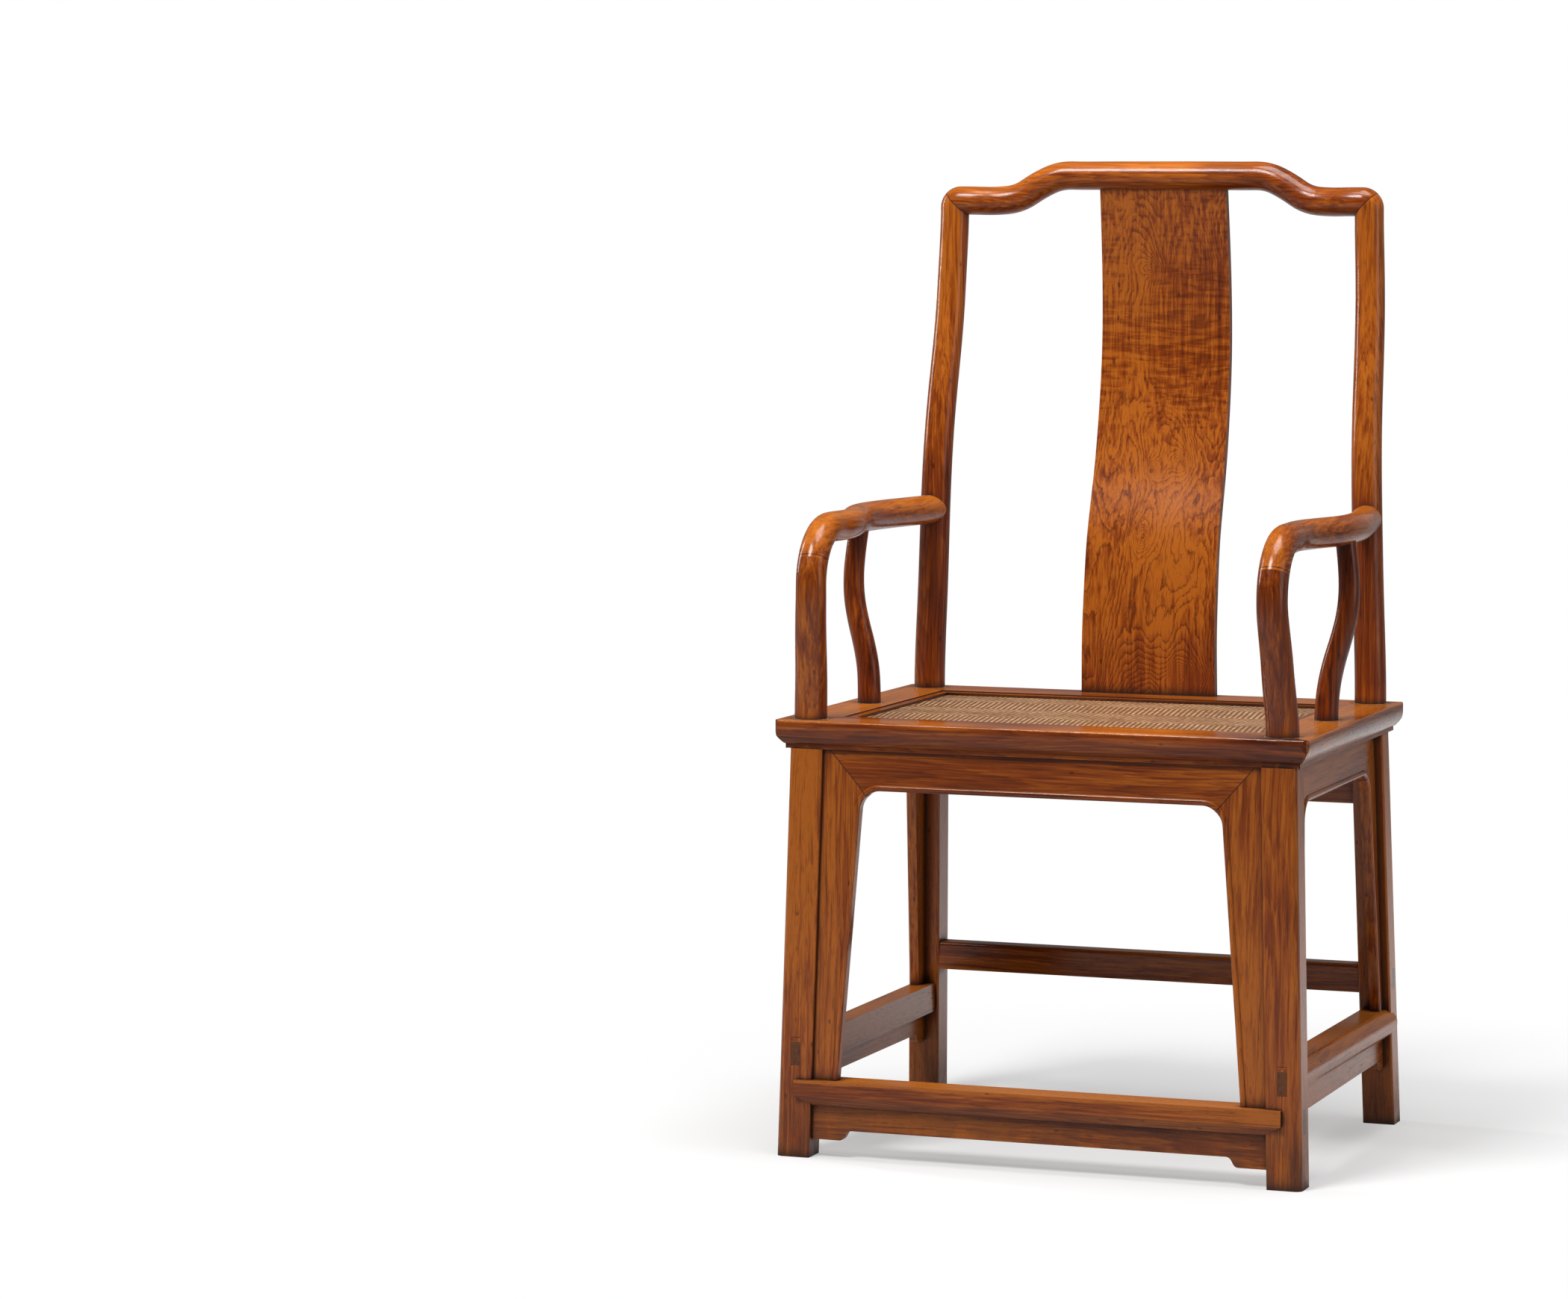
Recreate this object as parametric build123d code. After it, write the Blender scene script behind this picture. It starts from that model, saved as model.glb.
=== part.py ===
"""Southern official's hat armchair in huanghuali rosewood.

A yoke-less round-post armchair: square legs that turn round above the seat, a cane seat in a
mitred frame, pipe-jointed arms and a humped crest rail mitred to the rear stiles.
Millimetres, +Z up, the chair faces -Y, +X is to the right of someone looking at its front.
The model is drawn with Y = 0 on the front edge of the seat and is centred on the floor at the end.
"""
from build123d import *
import os
from math import ceil, cos, radians, sin, sqrt

# ---- seat frame -------------------------------------------------------------------------------
seat_height = 500.0            # floor to the top of the seat rails
seat_front_width = 623.0
seat_rear_width = 612.0
seat_depth = 461.0
seat_frame_thickness = 33.0
front_rail_width = 70.0
rear_rail_width = 76.0
side_rail_width = 73.0
seat_corner_radius = 9.0       # softened corners of the frame in plan
edge_draw_in = 11.2            # how far the edge moulding retreats at its foot
edge_top_round = 3.5
edge_nose_drop = 6.5           # the fullest point of the edge lies this far under the top
edge_foot_band = 6.0           # flat band at the foot of the moulding
edge_foot_step = 1.8
frame_tenon_width = 15.0
frame_tenon_thickness = 9.0
frame_tenon_drop = 12.0        # top of the rail to the top of the frame tenon
frame_tenon_wood = 2.0         # wood between a leg's neck and the frame tenon
mitre_overhang = 0.5           # share of the mitre's length that its cut runs on outside

# ---- woven seat -------------------------------------------------------------------------------
rabbet_width = 10.0
webbing_thickness = 2.0
cane_thickness = 2.5
cane_strip_thickness = 3.0
cane_strip_sink = 1.5          # strips lie this far below the rail tops
brace_width = 24.0
brace_height = 17.0
brace_sag = 12.0
brace_spread = 190.0           # distance between the two braces
brace_headroom = 1.0           # brace ends stay this far under the webbing
brace_tenon_length = 12.0
brace_tenon_width = 16.0
brace_tenon_height = 8.5
brace_tenon_drop = 5.0         # top of the brace to the top of its tenon

# ---- legs, posts and stiles -------------------------------------------------------------------
front_leg_width = 40.0
rear_leg_width = 38.0
leg_depth = 36.0
leg_outer_radius = 8.0
leg_arris_radius = 2.5
front_post_inset = 35.5        # side edge of the seat to the centre of the post
rear_post_inset = 34.2
front_post_setback = 26.8      # front edge of the seat to the centre of the post
rear_post_setback = 29.3       # rear edge of the seat to the centre of the stile
front_leg_splay = 12.8         # sideways travel from seat to floor
front_leg_rake = 6.5           # forward travel from seat to floor
rear_leg_splay = 11.6
rear_leg_rake = 33.5           # rearward travel from seat to floor
neck_diameter = 28.0           # round tenon of each leg inside the seat frame
post_foot_diameter = 37.3
post_top_diameter = 34.4
post_belly = 21.5              # forward swell of the front post
post_lean = 7.6                # inward lean of the front post
post_swell = ((0.32, 0.28), (0.66, 0.70))   # share of the height, share of the belly
stile_foot_diameter = 36.8
stile_top_diameter = 33.8
stile_lean = 17.2
stile_set_back = 36.5          # rearward travel of the S-curve
stile_curve = ((0.20, 0.00), (0.37, 0.00), (0.47, 0.05), (0.57, 0.22),
               (0.67, 0.53), (0.77, 0.82), (0.87, 0.95))  # share of height, share of set-back

# ---- crest rail and splat ---------------------------------------------------------------------
crest_height = 1130.5          # floor to the top of the crest rail
crest_hump = 30.0              # rise of the middle over the shoulders
crest_bow = 19.0               # the middle of the crest lies behind its ends
crest_corner_bend = 8.0        # radius of the centre line at the mitred corners
crest_curve = ((0.23, 1.00), (0.42, 0.99), (0.515, 0.92), (0.612, 0.51),
               (0.706, 0.09), (0.81, 0.00), (0.91, 0.00))  # share of half length, share of hump
crest_peg_width = 11.0
crest_peg_rise = 9.0
splat_foot_width = 164.5
splat_top_width = 154.5
splat_thickness = 11.5
splat_setback = 25.0           # rear edge of the seat to the front face of the splat
splat_sweep = 62.5             # depth of the S-curve of the splat
splat_curve = ((0.10, -0.03), (0.20, 0.05), (0.30, 0.20), (0.42, 0.58), (0.53, 0.84),
               (0.65, 1.00), (0.75, 1.00), (0.87, 0.88), (1.00, 0.68))
splat_rail_seat = 10.0         # depth of the groove in the rear rail
splat_crest_seat = 12.0        # depth of the groove in the crest rail

# ---- arms and side struts ---------------------------------------------------------------------
arm_height = 715.0             # floor to the centre line of the arm
arm_bend_radius = 62.0
arm_joint_angle = 25.0         # tilt of the pipe joint between post and arm
arm_peg_width = 13.0
arm_peg_length = 16.0
arm_bow = 23.0                 # outward swing of the arm in plan
arm_curve = ((0.10, -0.10), (0.24, 0.19), (0.37, 0.79), (0.49, 1.04),
             (0.62, 0.96), (0.78, 0.58), (0.90, 0.24))     # share of length, share of bow
arm_stile_peg_diameter = 14.0
arm_stile_peg_length = 12.0
strut_station = 0.457          # place of the strut along the run of the arm
strut_base_setback = 220.5     # front edge of the seat to the foot of the strut
strut_base_inset = 34.5        # side edge of the seat to the foot of the strut
strut_bow = 12.5               # outward swell of the sickle-shaped strut
strut_curve = ((0.12, -0.09), (0.24, 0.04), (0.40, 0.54), (0.52, 0.90),
               (0.65, 1.00), (0.80, 0.68))             # share of height, share of bow
strut_foot_diameter = 27.2
strut_top_diameter = 22.6
strut_peg_diameter = 12.0
strut_peg_length = 11.0
peg_root = 5.0                 # pegs are sunk this far into their own piece

# ---- aprons under the seat --------------------------------------------------------------------
apron_thickness = 10.5
apron_recess = 6.0             # back from the front and rear faces of the legs
side_apron_recess = 10.0       # back from the side faces of the legs
apron_tongue = 4.0             # let into the legs and the seat frame
apron_top_height = 45.4
front_board_widths = (45.5, 29.5)    # upright boards of the front apron, at the top and the foot
side_board_widths = (34.5, 20.5)     # the same of the side aprons
apron_mitre_inset = 7.0        # upper end of the mitre, in from the leg
apron_corner_radius = 22.0
apron_cusp = 6.4               # the cusp stands this far in from both edges
bead_width = 7.0
bead_height = 2.2
bead_root = 0.5                # part of the bead worked below the face
mitre_overrun = 1.5            # the mitre's cut runs on to this many times its length
apron_foot_overrun = 30.0      # the boards are drawn this much too long and cut off at the foot
rear_apron_height = 86.5

# ---- stretchers -------------------------------------------------------------------------------
footrest_top = 89.4
footrest_thickness = 29.0
footrest_projection = 2.5      # ahead of the front edge of the seat
footrest_front_band = 18.0     # upright part of the front edge
footrest_lap = 19.0            # ends cover this much of each front leg
footrest_foot_recess = 8.5     # foot of the front moulding behind the band
footrest_tenon_thickness = 11.0
footrest_tenon_shoulder = 1.0
side_stretcher_top = 138.5
side_stretcher_height = 33.8
side_stretcher_depth = 38.0
side_stretcher_nose = 12.0     # depth of the rounded outer edge
side_stretcher_front_cover = -0.5   # nose outside the face of the front leg
side_stretcher_rear_cover = 4.5     # nose outside the face of the rear leg
side_stretcher_lap = 13.0      # the nose runs this far along the rear leg
side_lap_round = 9.0
stretcher_tenon_thickness = 11.0
stretcher_tenon_height = 27.0
stretcher_tenon_lift = 0.5
wedge_height = 5.5
wedge_tip_height = 4.5
wedge_length = 24.0
rear_stretcher_top = 189.9
rear_stretcher_height = 33.0
rear_stretcher_depth = 28.0
rear_stretcher_setback = 2.0   # behind the front faces of the rear legs
rear_stretcher_arris = 4.0
rear_tenon_height = 23.0
footrest_apron_height = 28.0
side_apron_height = 25.5
spandrel_drop = 11.5           # ends hang lower than the middle
spandrel_flat = 32.0
side_spandrel_flat = 17.0
spandrel_ogee = 15.0           # length of the rise from foot to middle
lower_apron_thickness = 10.0
lower_front_recess = 7.5       # back from the front faces of the legs
lower_side_recess = 11.0       # back from the side faces of the legs

# ---- fits -------------------------------------------------------------------------------------
joint_clearance = 0.15         # gap round every tenon, tongue and peg
arc_step = 60                  # length of a curved rod that each pair of arcs follows
straight_enough = 1e-3         # below this turn a run is drawn as a line
reach = 2000.0                 # size of cutting blocks, larger than the chair

# ---- derived lines ----------------------------------------------------------------------------
seat_underside = seat_height - seat_frame_thickness
stile_radius = stile_top_diameter / 2
post_radius = post_top_diameter / 2
strip_top = seat_height - cane_strip_sink
cane_top = strip_top - cane_strip_thickness
webbing_top = cane_top - cane_thickness
webbing_bottom = webbing_top - webbing_thickness
crest_centre = crest_height - stile_radius
crest_shoulder = crest_centre - crest_hump
footrest_bottom = footrest_top - footrest_thickness
side_stretcher_bottom = side_stretcher_top - side_stretcher_height
rear_stretcher_bottom = rear_stretcher_top - rear_stretcher_height
joint_angle = radians(arm_joint_angle)

parts = {}


# ---- helpers ----------------------------------------------------------------------------------
def half_width(y):
    """Half the width of the seat at a distance from its front edge."""
    return (seat_front_width + (seat_rear_width - seat_front_width) * y / seat_depth) / 2


def block(x0, x1, y0, y1, z0, z1):
    """Box between two corners."""
    return Pos((x0 + x1) / 2, (y0 + y1) / 2, (z0 + z1) / 2) * Box(x1 - x0, y1 - y0, z1 - z0)


def half_space(origin, direction):
    """Large block on the side of a plane that the direction points to."""
    return Plane(origin=origin, z_dir=direction) * Box(
        reach, reach, reach, align=(Align.CENTER, Align.CENTER, Align.MIN))


def between(low, high):
    """Large slab between two heights."""
    return block(-reach, reach, -reach, reach, low, high)


def prism(points, low, high):
    """Upright prism over a plan outline."""
    return extrude(Pos(0, 0, low) * make_face(Polyline(*points, close=True)), high - low)


def tangent_run(start, end, direction):
    """Arc between two points that leaves the first in a direction, or a line where that is straight."""
    if (end - start).normalized().cross(direction).length < straight_enough:
        return Line(start, end)
    return TangentArc(start, end, tangent=direction)


def arc_line(curve):
    """Smooth run of tangent arcs that follows a curve, two arcs to each step of it."""
    steps = ceil(curve.length / arc_step)
    edges = []
    for index in range(steps):
        start, end = curve @ (index / steps), curve @ ((index + 1) / steps)
        leaving, arriving = curve % (index / steps), curve % ((index + 1) / steps)
        chord = end - start
        along = chord.dot(leaving + arriving)
        turn = 2 * (1 - leaving.dot(arriving)) * chord.length ** 2
        handle = chord.length ** 2 / (along + sqrt(along ** 2 + turn))
        meeting = (start + leaving * handle + end - arriving * handle) / 2
        edges.append(tangent_run(start, meeting, leaving))
        edges.append(tangent_run(end, meeting, -arriving))
    return Wire(edges)


def rod(path, start_diameter, end_diameter):
    """Round rod along a path, tapering evenly from one end to the other."""
    start = Plane(origin=path @ 0, z_dir=path % 0) * Circle(start_diameter / 2)
    end = Plane(origin=path @ 1, z_dir=path % 1) * Circle(end_diameter / 2)
    return sweep([start, end], path=path, multisection=True)


def peg(centre, direction, diameter, length):
    """Round peg standing on a point, sunk a little below it."""
    root = Plane(origin=centre, z_dir=direction)
    return root * Cylinder(diameter / 2, length, align=(Align.CENTER, Align.CENTER, Align.MIN))


def mirrored(name, solid):
    """Store a right-hand piece and its mirror image."""
    parts[name + "_right"] = solid
    parts[name + "_left"] = mirror(solid, about=Plane.YZ)


# ---- lines of the legs ------------------------------------------------------------------------
front_post_y = front_post_setback
rear_post_y = seat_depth - rear_post_setback
front_post_x = half_width(front_post_y) - front_post_inset
rear_post_x = half_width(rear_post_y) - rear_post_inset


def front_leg_centre(z):
    """Centre of the square front leg at a height."""
    share = (seat_underside - z) / seat_underside
    return front_post_x + front_leg_splay * share, front_post_y - front_leg_rake * share


def rear_leg_centre(z):
    """Centre of the square rear leg at a height."""
    share = (seat_underside - z) / seat_underside
    return rear_post_x + rear_leg_splay * share, rear_post_y + rear_leg_rake * share


def leg_blank(centre_at, outward_y, width):
    """Square leg below the seat: rounded outer corner, softened arrises, sheared to its rake."""
    x, y = centre_at(0)
    half_x = width / 2
    half_y = leg_depth / 2 * outward_y
    outline = FilletPolyline(
        (x + half_x, y + half_y), (x - half_x, y + half_y),
        (x - half_x, y - half_y), (x + half_x, y - half_y),
        radius=[leg_outer_radius, leg_arris_radius, leg_arris_radius, leg_arris_radius], close=True)
    top_x, top_y = centre_at(seat_underside)
    rise = Vector(top_x - x, top_y - y, seat_underside)
    return extrude(make_face(outline), rise.length, dir=rise)


front_leg_blank = leg_blank(front_leg_centre, -1, front_leg_width)
rear_leg_blank = leg_blank(rear_leg_centre, 1, rear_leg_width)
leg_blanks = front_leg_blank + rear_leg_blank

# ---- front post and the pipe bend -------------------------------------------------------------
bend_x = front_post_x - post_lean
bend_front_y = front_post_y - post_belly
bend_z = arm_height - arm_bend_radius
bend_y = bend_front_y + arm_bend_radius
post_height = bend_z - seat_height
post_points = [(front_post_x, front_post_y, seat_height)]
for rise, swell in post_swell:
    post_points.append((front_post_x - post_lean * rise, front_post_y - post_belly * swell,
                        seat_height + post_height * rise))
post_points.append((bend_x, bend_front_y, bend_z))
post_line = arc_line(Spline(*post_points, tangents=[(0, 0, 1), (0, 0, 1)]))
post_rod = rod(post_line, post_foot_diameter, post_top_diameter)


def bend(start_angle, end_angle):
    """Part of the quarter bend that turns the post into the arm."""
    angle = radians(start_angle)
    centre = (bend_x, bend_y - arm_bend_radius * cos(angle), bend_z + arm_bend_radius * sin(angle))
    section = Plane(origin=centre, z_dir=(0, sin(angle), cos(angle))) * Circle(post_radius)
    return revolve(section, Axis((bend_x, bend_y, bend_z), (-1, 0, 0)), end_angle - start_angle)


joint_centre = (bend_x, bend_y - arm_bend_radius * cos(joint_angle),
                bend_z + arm_bend_radius * sin(joint_angle))
joint_plane = Plane(origin=joint_centre, x_dir=(1, 0, 0), z_dir=(0, sin(joint_angle), cos(joint_angle)))


def joint_peg(gap):
    """Square peg of the post inside the bowl of the arm."""
    side = arm_peg_width + 2 * gap
    return joint_plane * Box(side, side, arm_peg_length + gap,
                             align=(Align.CENTER, Align.CENTER, Align.MIN))


# ---- rear stile -------------------------------------------------------------------------------
corner_x = rear_post_x - stile_lean
corner_y = rear_post_y + stile_set_back
mitre_x = corner_x - crest_corner_bend
mitre_z = crest_shoulder - crest_corner_bend
stile_height = mitre_z - seat_height
stile_points = [(rear_post_x, rear_post_y, seat_height)]
for rise, sweep_back in stile_curve:
    stile_points.append((rear_post_x - stile_lean * rise, rear_post_y + stile_set_back * sweep_back,
                         seat_height + stile_height * rise))
stile_points.append((corner_x, corner_y, mitre_z))
stile_line = arc_line(Spline(*stile_points, tangents=[(0, 0, 1), (0, 0, 1)]))
stile_rod = rod(stile_line, stile_foot_diameter, stile_top_diameter)

# ---- arm --------------------------------------------------------------------------------------
arm_share = (arm_height - seat_height) / stile_height
stile_at_arm = stile_line @ arm_share
arm_start_y = bend_y
arm_run = stile_at_arm.Y - arm_start_y


def arm_point(share, swing):
    """Point of the arm's centre line: share of its run and of its outward bow."""
    x = bend_x + (stile_at_arm.X - bend_x) * share + arm_bow * swing
    return x, arm_start_y + arm_run * share, arm_height


arm_points = [(bend_x, arm_start_y, arm_height)]
arm_points += [arm_point(share, swing) for share, swing in arm_curve]
arm_points.append(arm_point(1, 0))
arm_end = Vector(*arm_points[-1])
arm_line = arc_line(Spline(*arm_points, tangents=[(0, 1, 0), arm_end - Vector(*arm_points[-2])]))
arm_rod = rod(arm_line, post_top_diameter, post_top_diameter)
arm_blank = arm_rod + bend(arm_joint_angle, 90)
arm_end_direction = arm_line % 1


def stile_peg(gap):
    """Round peg of the arm inside the stile."""
    start = arm_end - arm_end_direction * (stile_radius + peg_root)
    return peg(start, arm_end_direction, arm_stile_peg_diameter + 2 * gap,
               peg_root + arm_stile_peg_length + gap)


# ---- side strut -------------------------------------------------------------------------------
strut_foot_x = half_width(strut_base_setback) - strut_base_inset
strut_top = arm_line @ strut_station
strut_foot = Vector(strut_foot_x, strut_base_setback, seat_height)
strut_points = [strut_foot]
for rise, swing in strut_curve:
    strut_points.append(strut_foot + (strut_top - strut_foot) * rise + Vector(strut_bow * swing))
strut_points.append(strut_top)
strut_line = arc_line(Spline(*strut_points, tangents=[(0, 0, 1), strut_top - strut_points[-2]]))
strut_rod = rod(strut_line, strut_foot_diameter, strut_top_diameter)
strut_top_direction = strut_line % 1


def strut_foot_peg(gap):
    """Round peg under the strut in the side rail."""
    start = strut_foot + Vector(0, 0, peg_root)
    return peg(start, (0, 0, -1), strut_peg_diameter + 2 * gap, peg_root + strut_peg_length + gap)


def strut_top_peg(gap):
    """Round peg of the strut inside the arm."""
    start = strut_top - strut_top_direction * (post_radius + peg_root)
    return peg(start, strut_top_direction, strut_peg_diameter + 2 * gap,
               peg_root + strut_peg_length + gap)


# ---- crest rail -------------------------------------------------------------------------------
def crest_point(side, share, hump):
    """Point of the crest's centre line on one side of the chair."""
    return (side * corner_x * share, corner_y + crest_bow * (1 - share ** 2),
            crest_shoulder + crest_hump * hump)


crest_points = [(-mitre_x, corner_y, crest_shoulder)]
crest_points += [crest_point(-1, share, hump) for share, hump in reversed(crest_curve)]
crest_points += [crest_point(0, 0, 1)]
crest_points += [crest_point(1, share, hump) for share, hump in crest_curve]
crest_points += [(mitre_x, corner_y, crest_shoulder)]
crest_line = arc_line(Spline(*crest_points, tangents=[(1, 0, 0), (1, 0, 0)]))
crest_rod = rod(crest_line, stile_top_diameter, stile_top_diameter)


def corner_knuckle():
    """Rounded outer corner where the crest turns down into the stile."""
    section = Pos(corner_x, corner_y, mitre_z) * Circle(stile_radius)
    outer_half = section & block(mitre_x, reach, -reach, reach, -reach, reach)
    return revolve(outer_half, Axis((mitre_x, corner_y, mitre_z), (0, -1, 0)), 90)


mitre_origin = (mitre_x, corner_y, mitre_z)
above_mitre = half_space(mitre_origin, (-1, 0, 1))
below_mitre = half_space(mitre_origin, (1, 0, -1))
knuckle = corner_knuckle()


def crest_peg(gap):
    """Square peg of the stile inside the corner of the crest."""
    half = crest_peg_width / 2 + gap
    return block(corner_x - half, corner_x + half, corner_y - half, corner_y + half,
                 mitre_z - stile_radius, crest_shoulder + crest_peg_rise + gap)


crest = crest_rod + knuckle + mirror(knuckle, about=Plane.YZ)
crest -= below_mitre
crest -= mirror(below_mitre, about=Plane.YZ)
crest -= crest_peg(joint_clearance)
crest -= mirror(crest_peg(joint_clearance), about=Plane.YZ)


# ---- splat ------------------------------------------------------------------------------------
def splat_board(gap):
    """S-curved back splat, tapering towards the crest."""
    face_y = seat_depth - splat_setback - gap
    height = crest_centre - seat_height
    foot = seat_height - splat_rail_seat - gap
    head = crest_centre - stile_radius + splat_crest_seat + gap
    front = [(face_y, foot - splat_rail_seat), (face_y, seat_height)]
    front += [(face_y + splat_sweep * swing, seat_height + height * rise)
              for rise, swing in splat_curve]
    curve = Spline(*front)
    back = Pos(splat_thickness + 2 * gap, 0, 0) * curve
    side_view = make_face([curve, back, Line(curve @ 0, back @ 0), Line(curve @ 1, back @ 1)])
    half_foot = splat_foot_width / 2 + gap
    half_top = splat_top_width / 2 + gap
    board = extrude(Plane.YZ * side_view, half_foot, both=True)
    front_view = Polyline((-half_foot, seat_height), (-half_top, crest_centre),
                          (half_top, crest_centre), (half_foot, seat_height),
                          (half_foot, foot), (-half_foot, foot), close=True)
    outline = extrude(Plane.XZ * make_face(front_view), reach, both=True)
    return board & outline & between(foot, head)


crest -= splat_board(joint_clearance)
splat = splat_board(0)


# ---- seat frame -------------------------------------------------------------------------------
seat_corners = [(-half_width(0), 0), (half_width(0), 0),
                (half_width(seat_depth), seat_depth), (-half_width(seat_depth), seat_depth)]


def opening(grow):
    """Corners of the seat opening, grown outwards by a margin."""
    front = front_rail_width - grow
    rear = seat_depth - rear_rail_width + grow
    front_x = half_width(front) - side_rail_width + grow
    rear_x = half_width(rear) - side_rail_width + grow
    return [(-front_x, front), (front_x, front), (rear_x, rear), (-rear_x, rear)]


def mitred_quarter(side, inner, outer, overhang):
    """Plan outline of one side of a mitred frame; the mitres run on past the outer corners."""
    corners = []
    for index in (side, (side + 1) % 4):
        inside = Vector(*inner[index])
        outside = Vector(*outer[index])
        corners.append((inside, outside + (outside - inside) * overhang))
    (start_in, start_out), (end_in, end_out) = corners
    return [tuple(point)[:2] for point in (start_out, end_out, end_in, start_in)]


def edge_profile(width):
    """Section of a seat rail: rounded top, full nose, and a hollow return to a flat foot band."""
    foot = -seat_frame_thickness
    band = foot + edge_foot_band
    step_in = -edge_draw_in + edge_foot_step
    return make_face([
        Line((-width, 0), (-edge_top_round, 0)),
        Spline((-edge_top_round, 0), (0, -edge_nose_drop), tangents=[(1, 0), (0, -1)]),
        Spline((0, -edge_nose_drop), (step_in, band), tangents=[(0, -1), (-1, -1)]),
        Line((step_in, band), (-edge_draw_in, band - edge_foot_step / 2)),
        Line((-edge_draw_in, band - edge_foot_step / 2), (-edge_draw_in, foot)),
        Line((-edge_draw_in, foot), (-width, foot)),
        Line((-width, foot), (-width, 0)),
    ])


def seat_rail(side, width):
    """One member of the seat frame between its two mitres."""
    start = Vector(*seat_corners[side])
    end = Vector(*seat_corners[(side + 1) % 4])
    along = (end - start).normalized()
    outward = Vector(along.Y, -along.X, 0)
    middle = (start + end) / 2 + Vector(0, 0, seat_height)
    section = Plane(origin=middle, x_dir=outward, z_dir=-along) * edge_profile(width * 2)
    length = extrude(section, (end - start).length, both=True)
    quarter = prism(mitred_quarter(side, opening(0), seat_corners, mitre_overhang),
                    seat_underside - 1, seat_height + 1)
    return length & quarter


def frame_tenon(y0, y1, gap):
    """Through tenon of a front or rear rail in the right-hand side rail."""
    top = seat_height - frame_tenon_drop
    root = min(half_width(y0), half_width(y1)) - side_rail_width
    return block(root, reach, y0 - gap, y1 + gap, top - frame_tenon_thickness - gap, top + gap)


def corner_waste(index):
    """Sharp corner of the frame outside its rounding."""
    corner = Vector(*seat_corners[index])
    ahead = (Vector(*seat_corners[(index + 1) % 4]) - corner).normalized()
    behind = (Vector(*seat_corners[index - 1]) - corner).normalized()
    centre = corner + (ahead + behind) * (seat_corner_radius / ahead.cross(behind).length)
    size = seat_corner_radius * 2
    plan = [centre, centre - ahead * size, centre - (ahead + behind) * size, centre - behind * size]
    sharp = prism([tuple(point)[:2] for point in plan], seat_underside - 1, seat_height + 1)
    return sharp - Pos(centre.X, centre.Y, seat_underside) * Cylinder(seat_corner_radius, reach)


rabbet = prism(opening(rabbet_width), webbing_bottom, seat_height + 1)
front_rail = seat_rail(0, front_rail_width)
right_rail = seat_rail(1, side_rail_width)
rear_rail = seat_rail(2, rear_rail_width)
for index in range(4):
    front_rail -= corner_waste(index)
    right_rail -= corner_waste(index)
    rear_rail -= corner_waste(index)

neck_radius = neck_diameter / 2
tenon_offset = neck_radius + frame_tenon_wood
front_tenon_y = (front_post_y + tenon_offset, front_post_y + tenon_offset + frame_tenon_width)
rear_tenon_y = (rear_post_y - tenon_offset - frame_tenon_width, rear_post_y - tenon_offset)
front_frame_tenon = frame_tenon(*front_tenon_y, 0) & right_rail
rear_frame_tenon = frame_tenon(*rear_tenon_y, 0) & right_rail
right_rail -= frame_tenon(*front_tenon_y, joint_clearance)
right_rail -= frame_tenon(*rear_tenon_y, joint_clearance)
front_rail += front_frame_tenon + mirror(front_frame_tenon, about=Plane.YZ)
rear_rail += rear_frame_tenon + mirror(rear_frame_tenon, about=Plane.YZ)


def neck(x, y, gap):
    """Round neck of a leg inside the seat frame."""
    return Pos(x, y, seat_underside) * Cylinder(
        neck_radius + gap, seat_frame_thickness, align=(Align.CENTER, Align.CENTER, Align.MIN))


neck_holes = neck(front_post_x, front_post_y, joint_clearance)
neck_holes += neck(rear_post_x, rear_post_y, joint_clearance)
neck_holes += mirror(neck_holes, about=Plane.YZ)

# ---- braces under the seat --------------------------------------------------------------------
brace_y0 = front_rail_width
brace_y1 = seat_depth - rear_rail_width
brace_top = webbing_bottom - brace_headroom
brace_x = brace_spread / 2


def brace_arc(drop):
    """Sagging line of a brace at a depth below its top."""
    return ThreePointArc((brace_y0, brace_top - drop),
                         ((brace_y0 + brace_y1) / 2, brace_top - drop - brace_sag),
                         (brace_y1, brace_top - drop))


def brace_tenons(gap):
    """Tenons of the right-hand brace in the front and rear rails."""
    half = brace_tenon_width / 2 + gap
    high = brace_top - brace_tenon_drop + gap
    low = high - brace_tenon_height - 2 * gap
    length = brace_tenon_length + gap
    front = block(brace_x - half, brace_x + half, brace_y0 - length, brace_y0, low, high)
    rear = block(brace_x - half, brace_x + half, brace_y1, brace_y1 + length, low, high)
    return front + rear


upper_arc = brace_arc(0)
lower_arc = brace_arc(brace_height)
brace_face = make_face([upper_arc, lower_arc, Line(upper_arc @ 0, lower_arc @ 0),
                        Line(upper_arc @ 1, lower_arc @ 1)])
brace = Pos(brace_x, 0, 0) * extrude(Plane.YZ * brace_face, brace_width / 2, both=True)
brace += brace_tenons(0)
brace_mortises = brace_tenons(joint_clearance)
brace_mortises += mirror(brace_mortises, about=Plane.YZ)


# ---- aprons -----------------------------------------------------------------------------------
def leg_face_plane(origin, x_dir, up):
    """Plane on the recessed face of an apron, looking outwards."""
    return Plane(origin=origin, x_dir=x_dir, z_dir=Vector(*x_dir).cross(Vector(*up)))


def board(plane, face, thickness, gap=0.0):
    """Flat board behind a plane, thickened by a gap on both faces."""
    return extrude(plane.offset(gap) * face, -(thickness + 2 * gap))


def apron_outline(top, foot, drop, tongue):
    """Face of an apron frame let into the legs and the seat frame by a tongue."""
    return make_face(Polyline((top[0] - tongue, tongue), (top[1] + tongue, tongue),
                              (foot[1] + tongue, -drop), (foot[0] - tongue, -drop), close=True))


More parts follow.
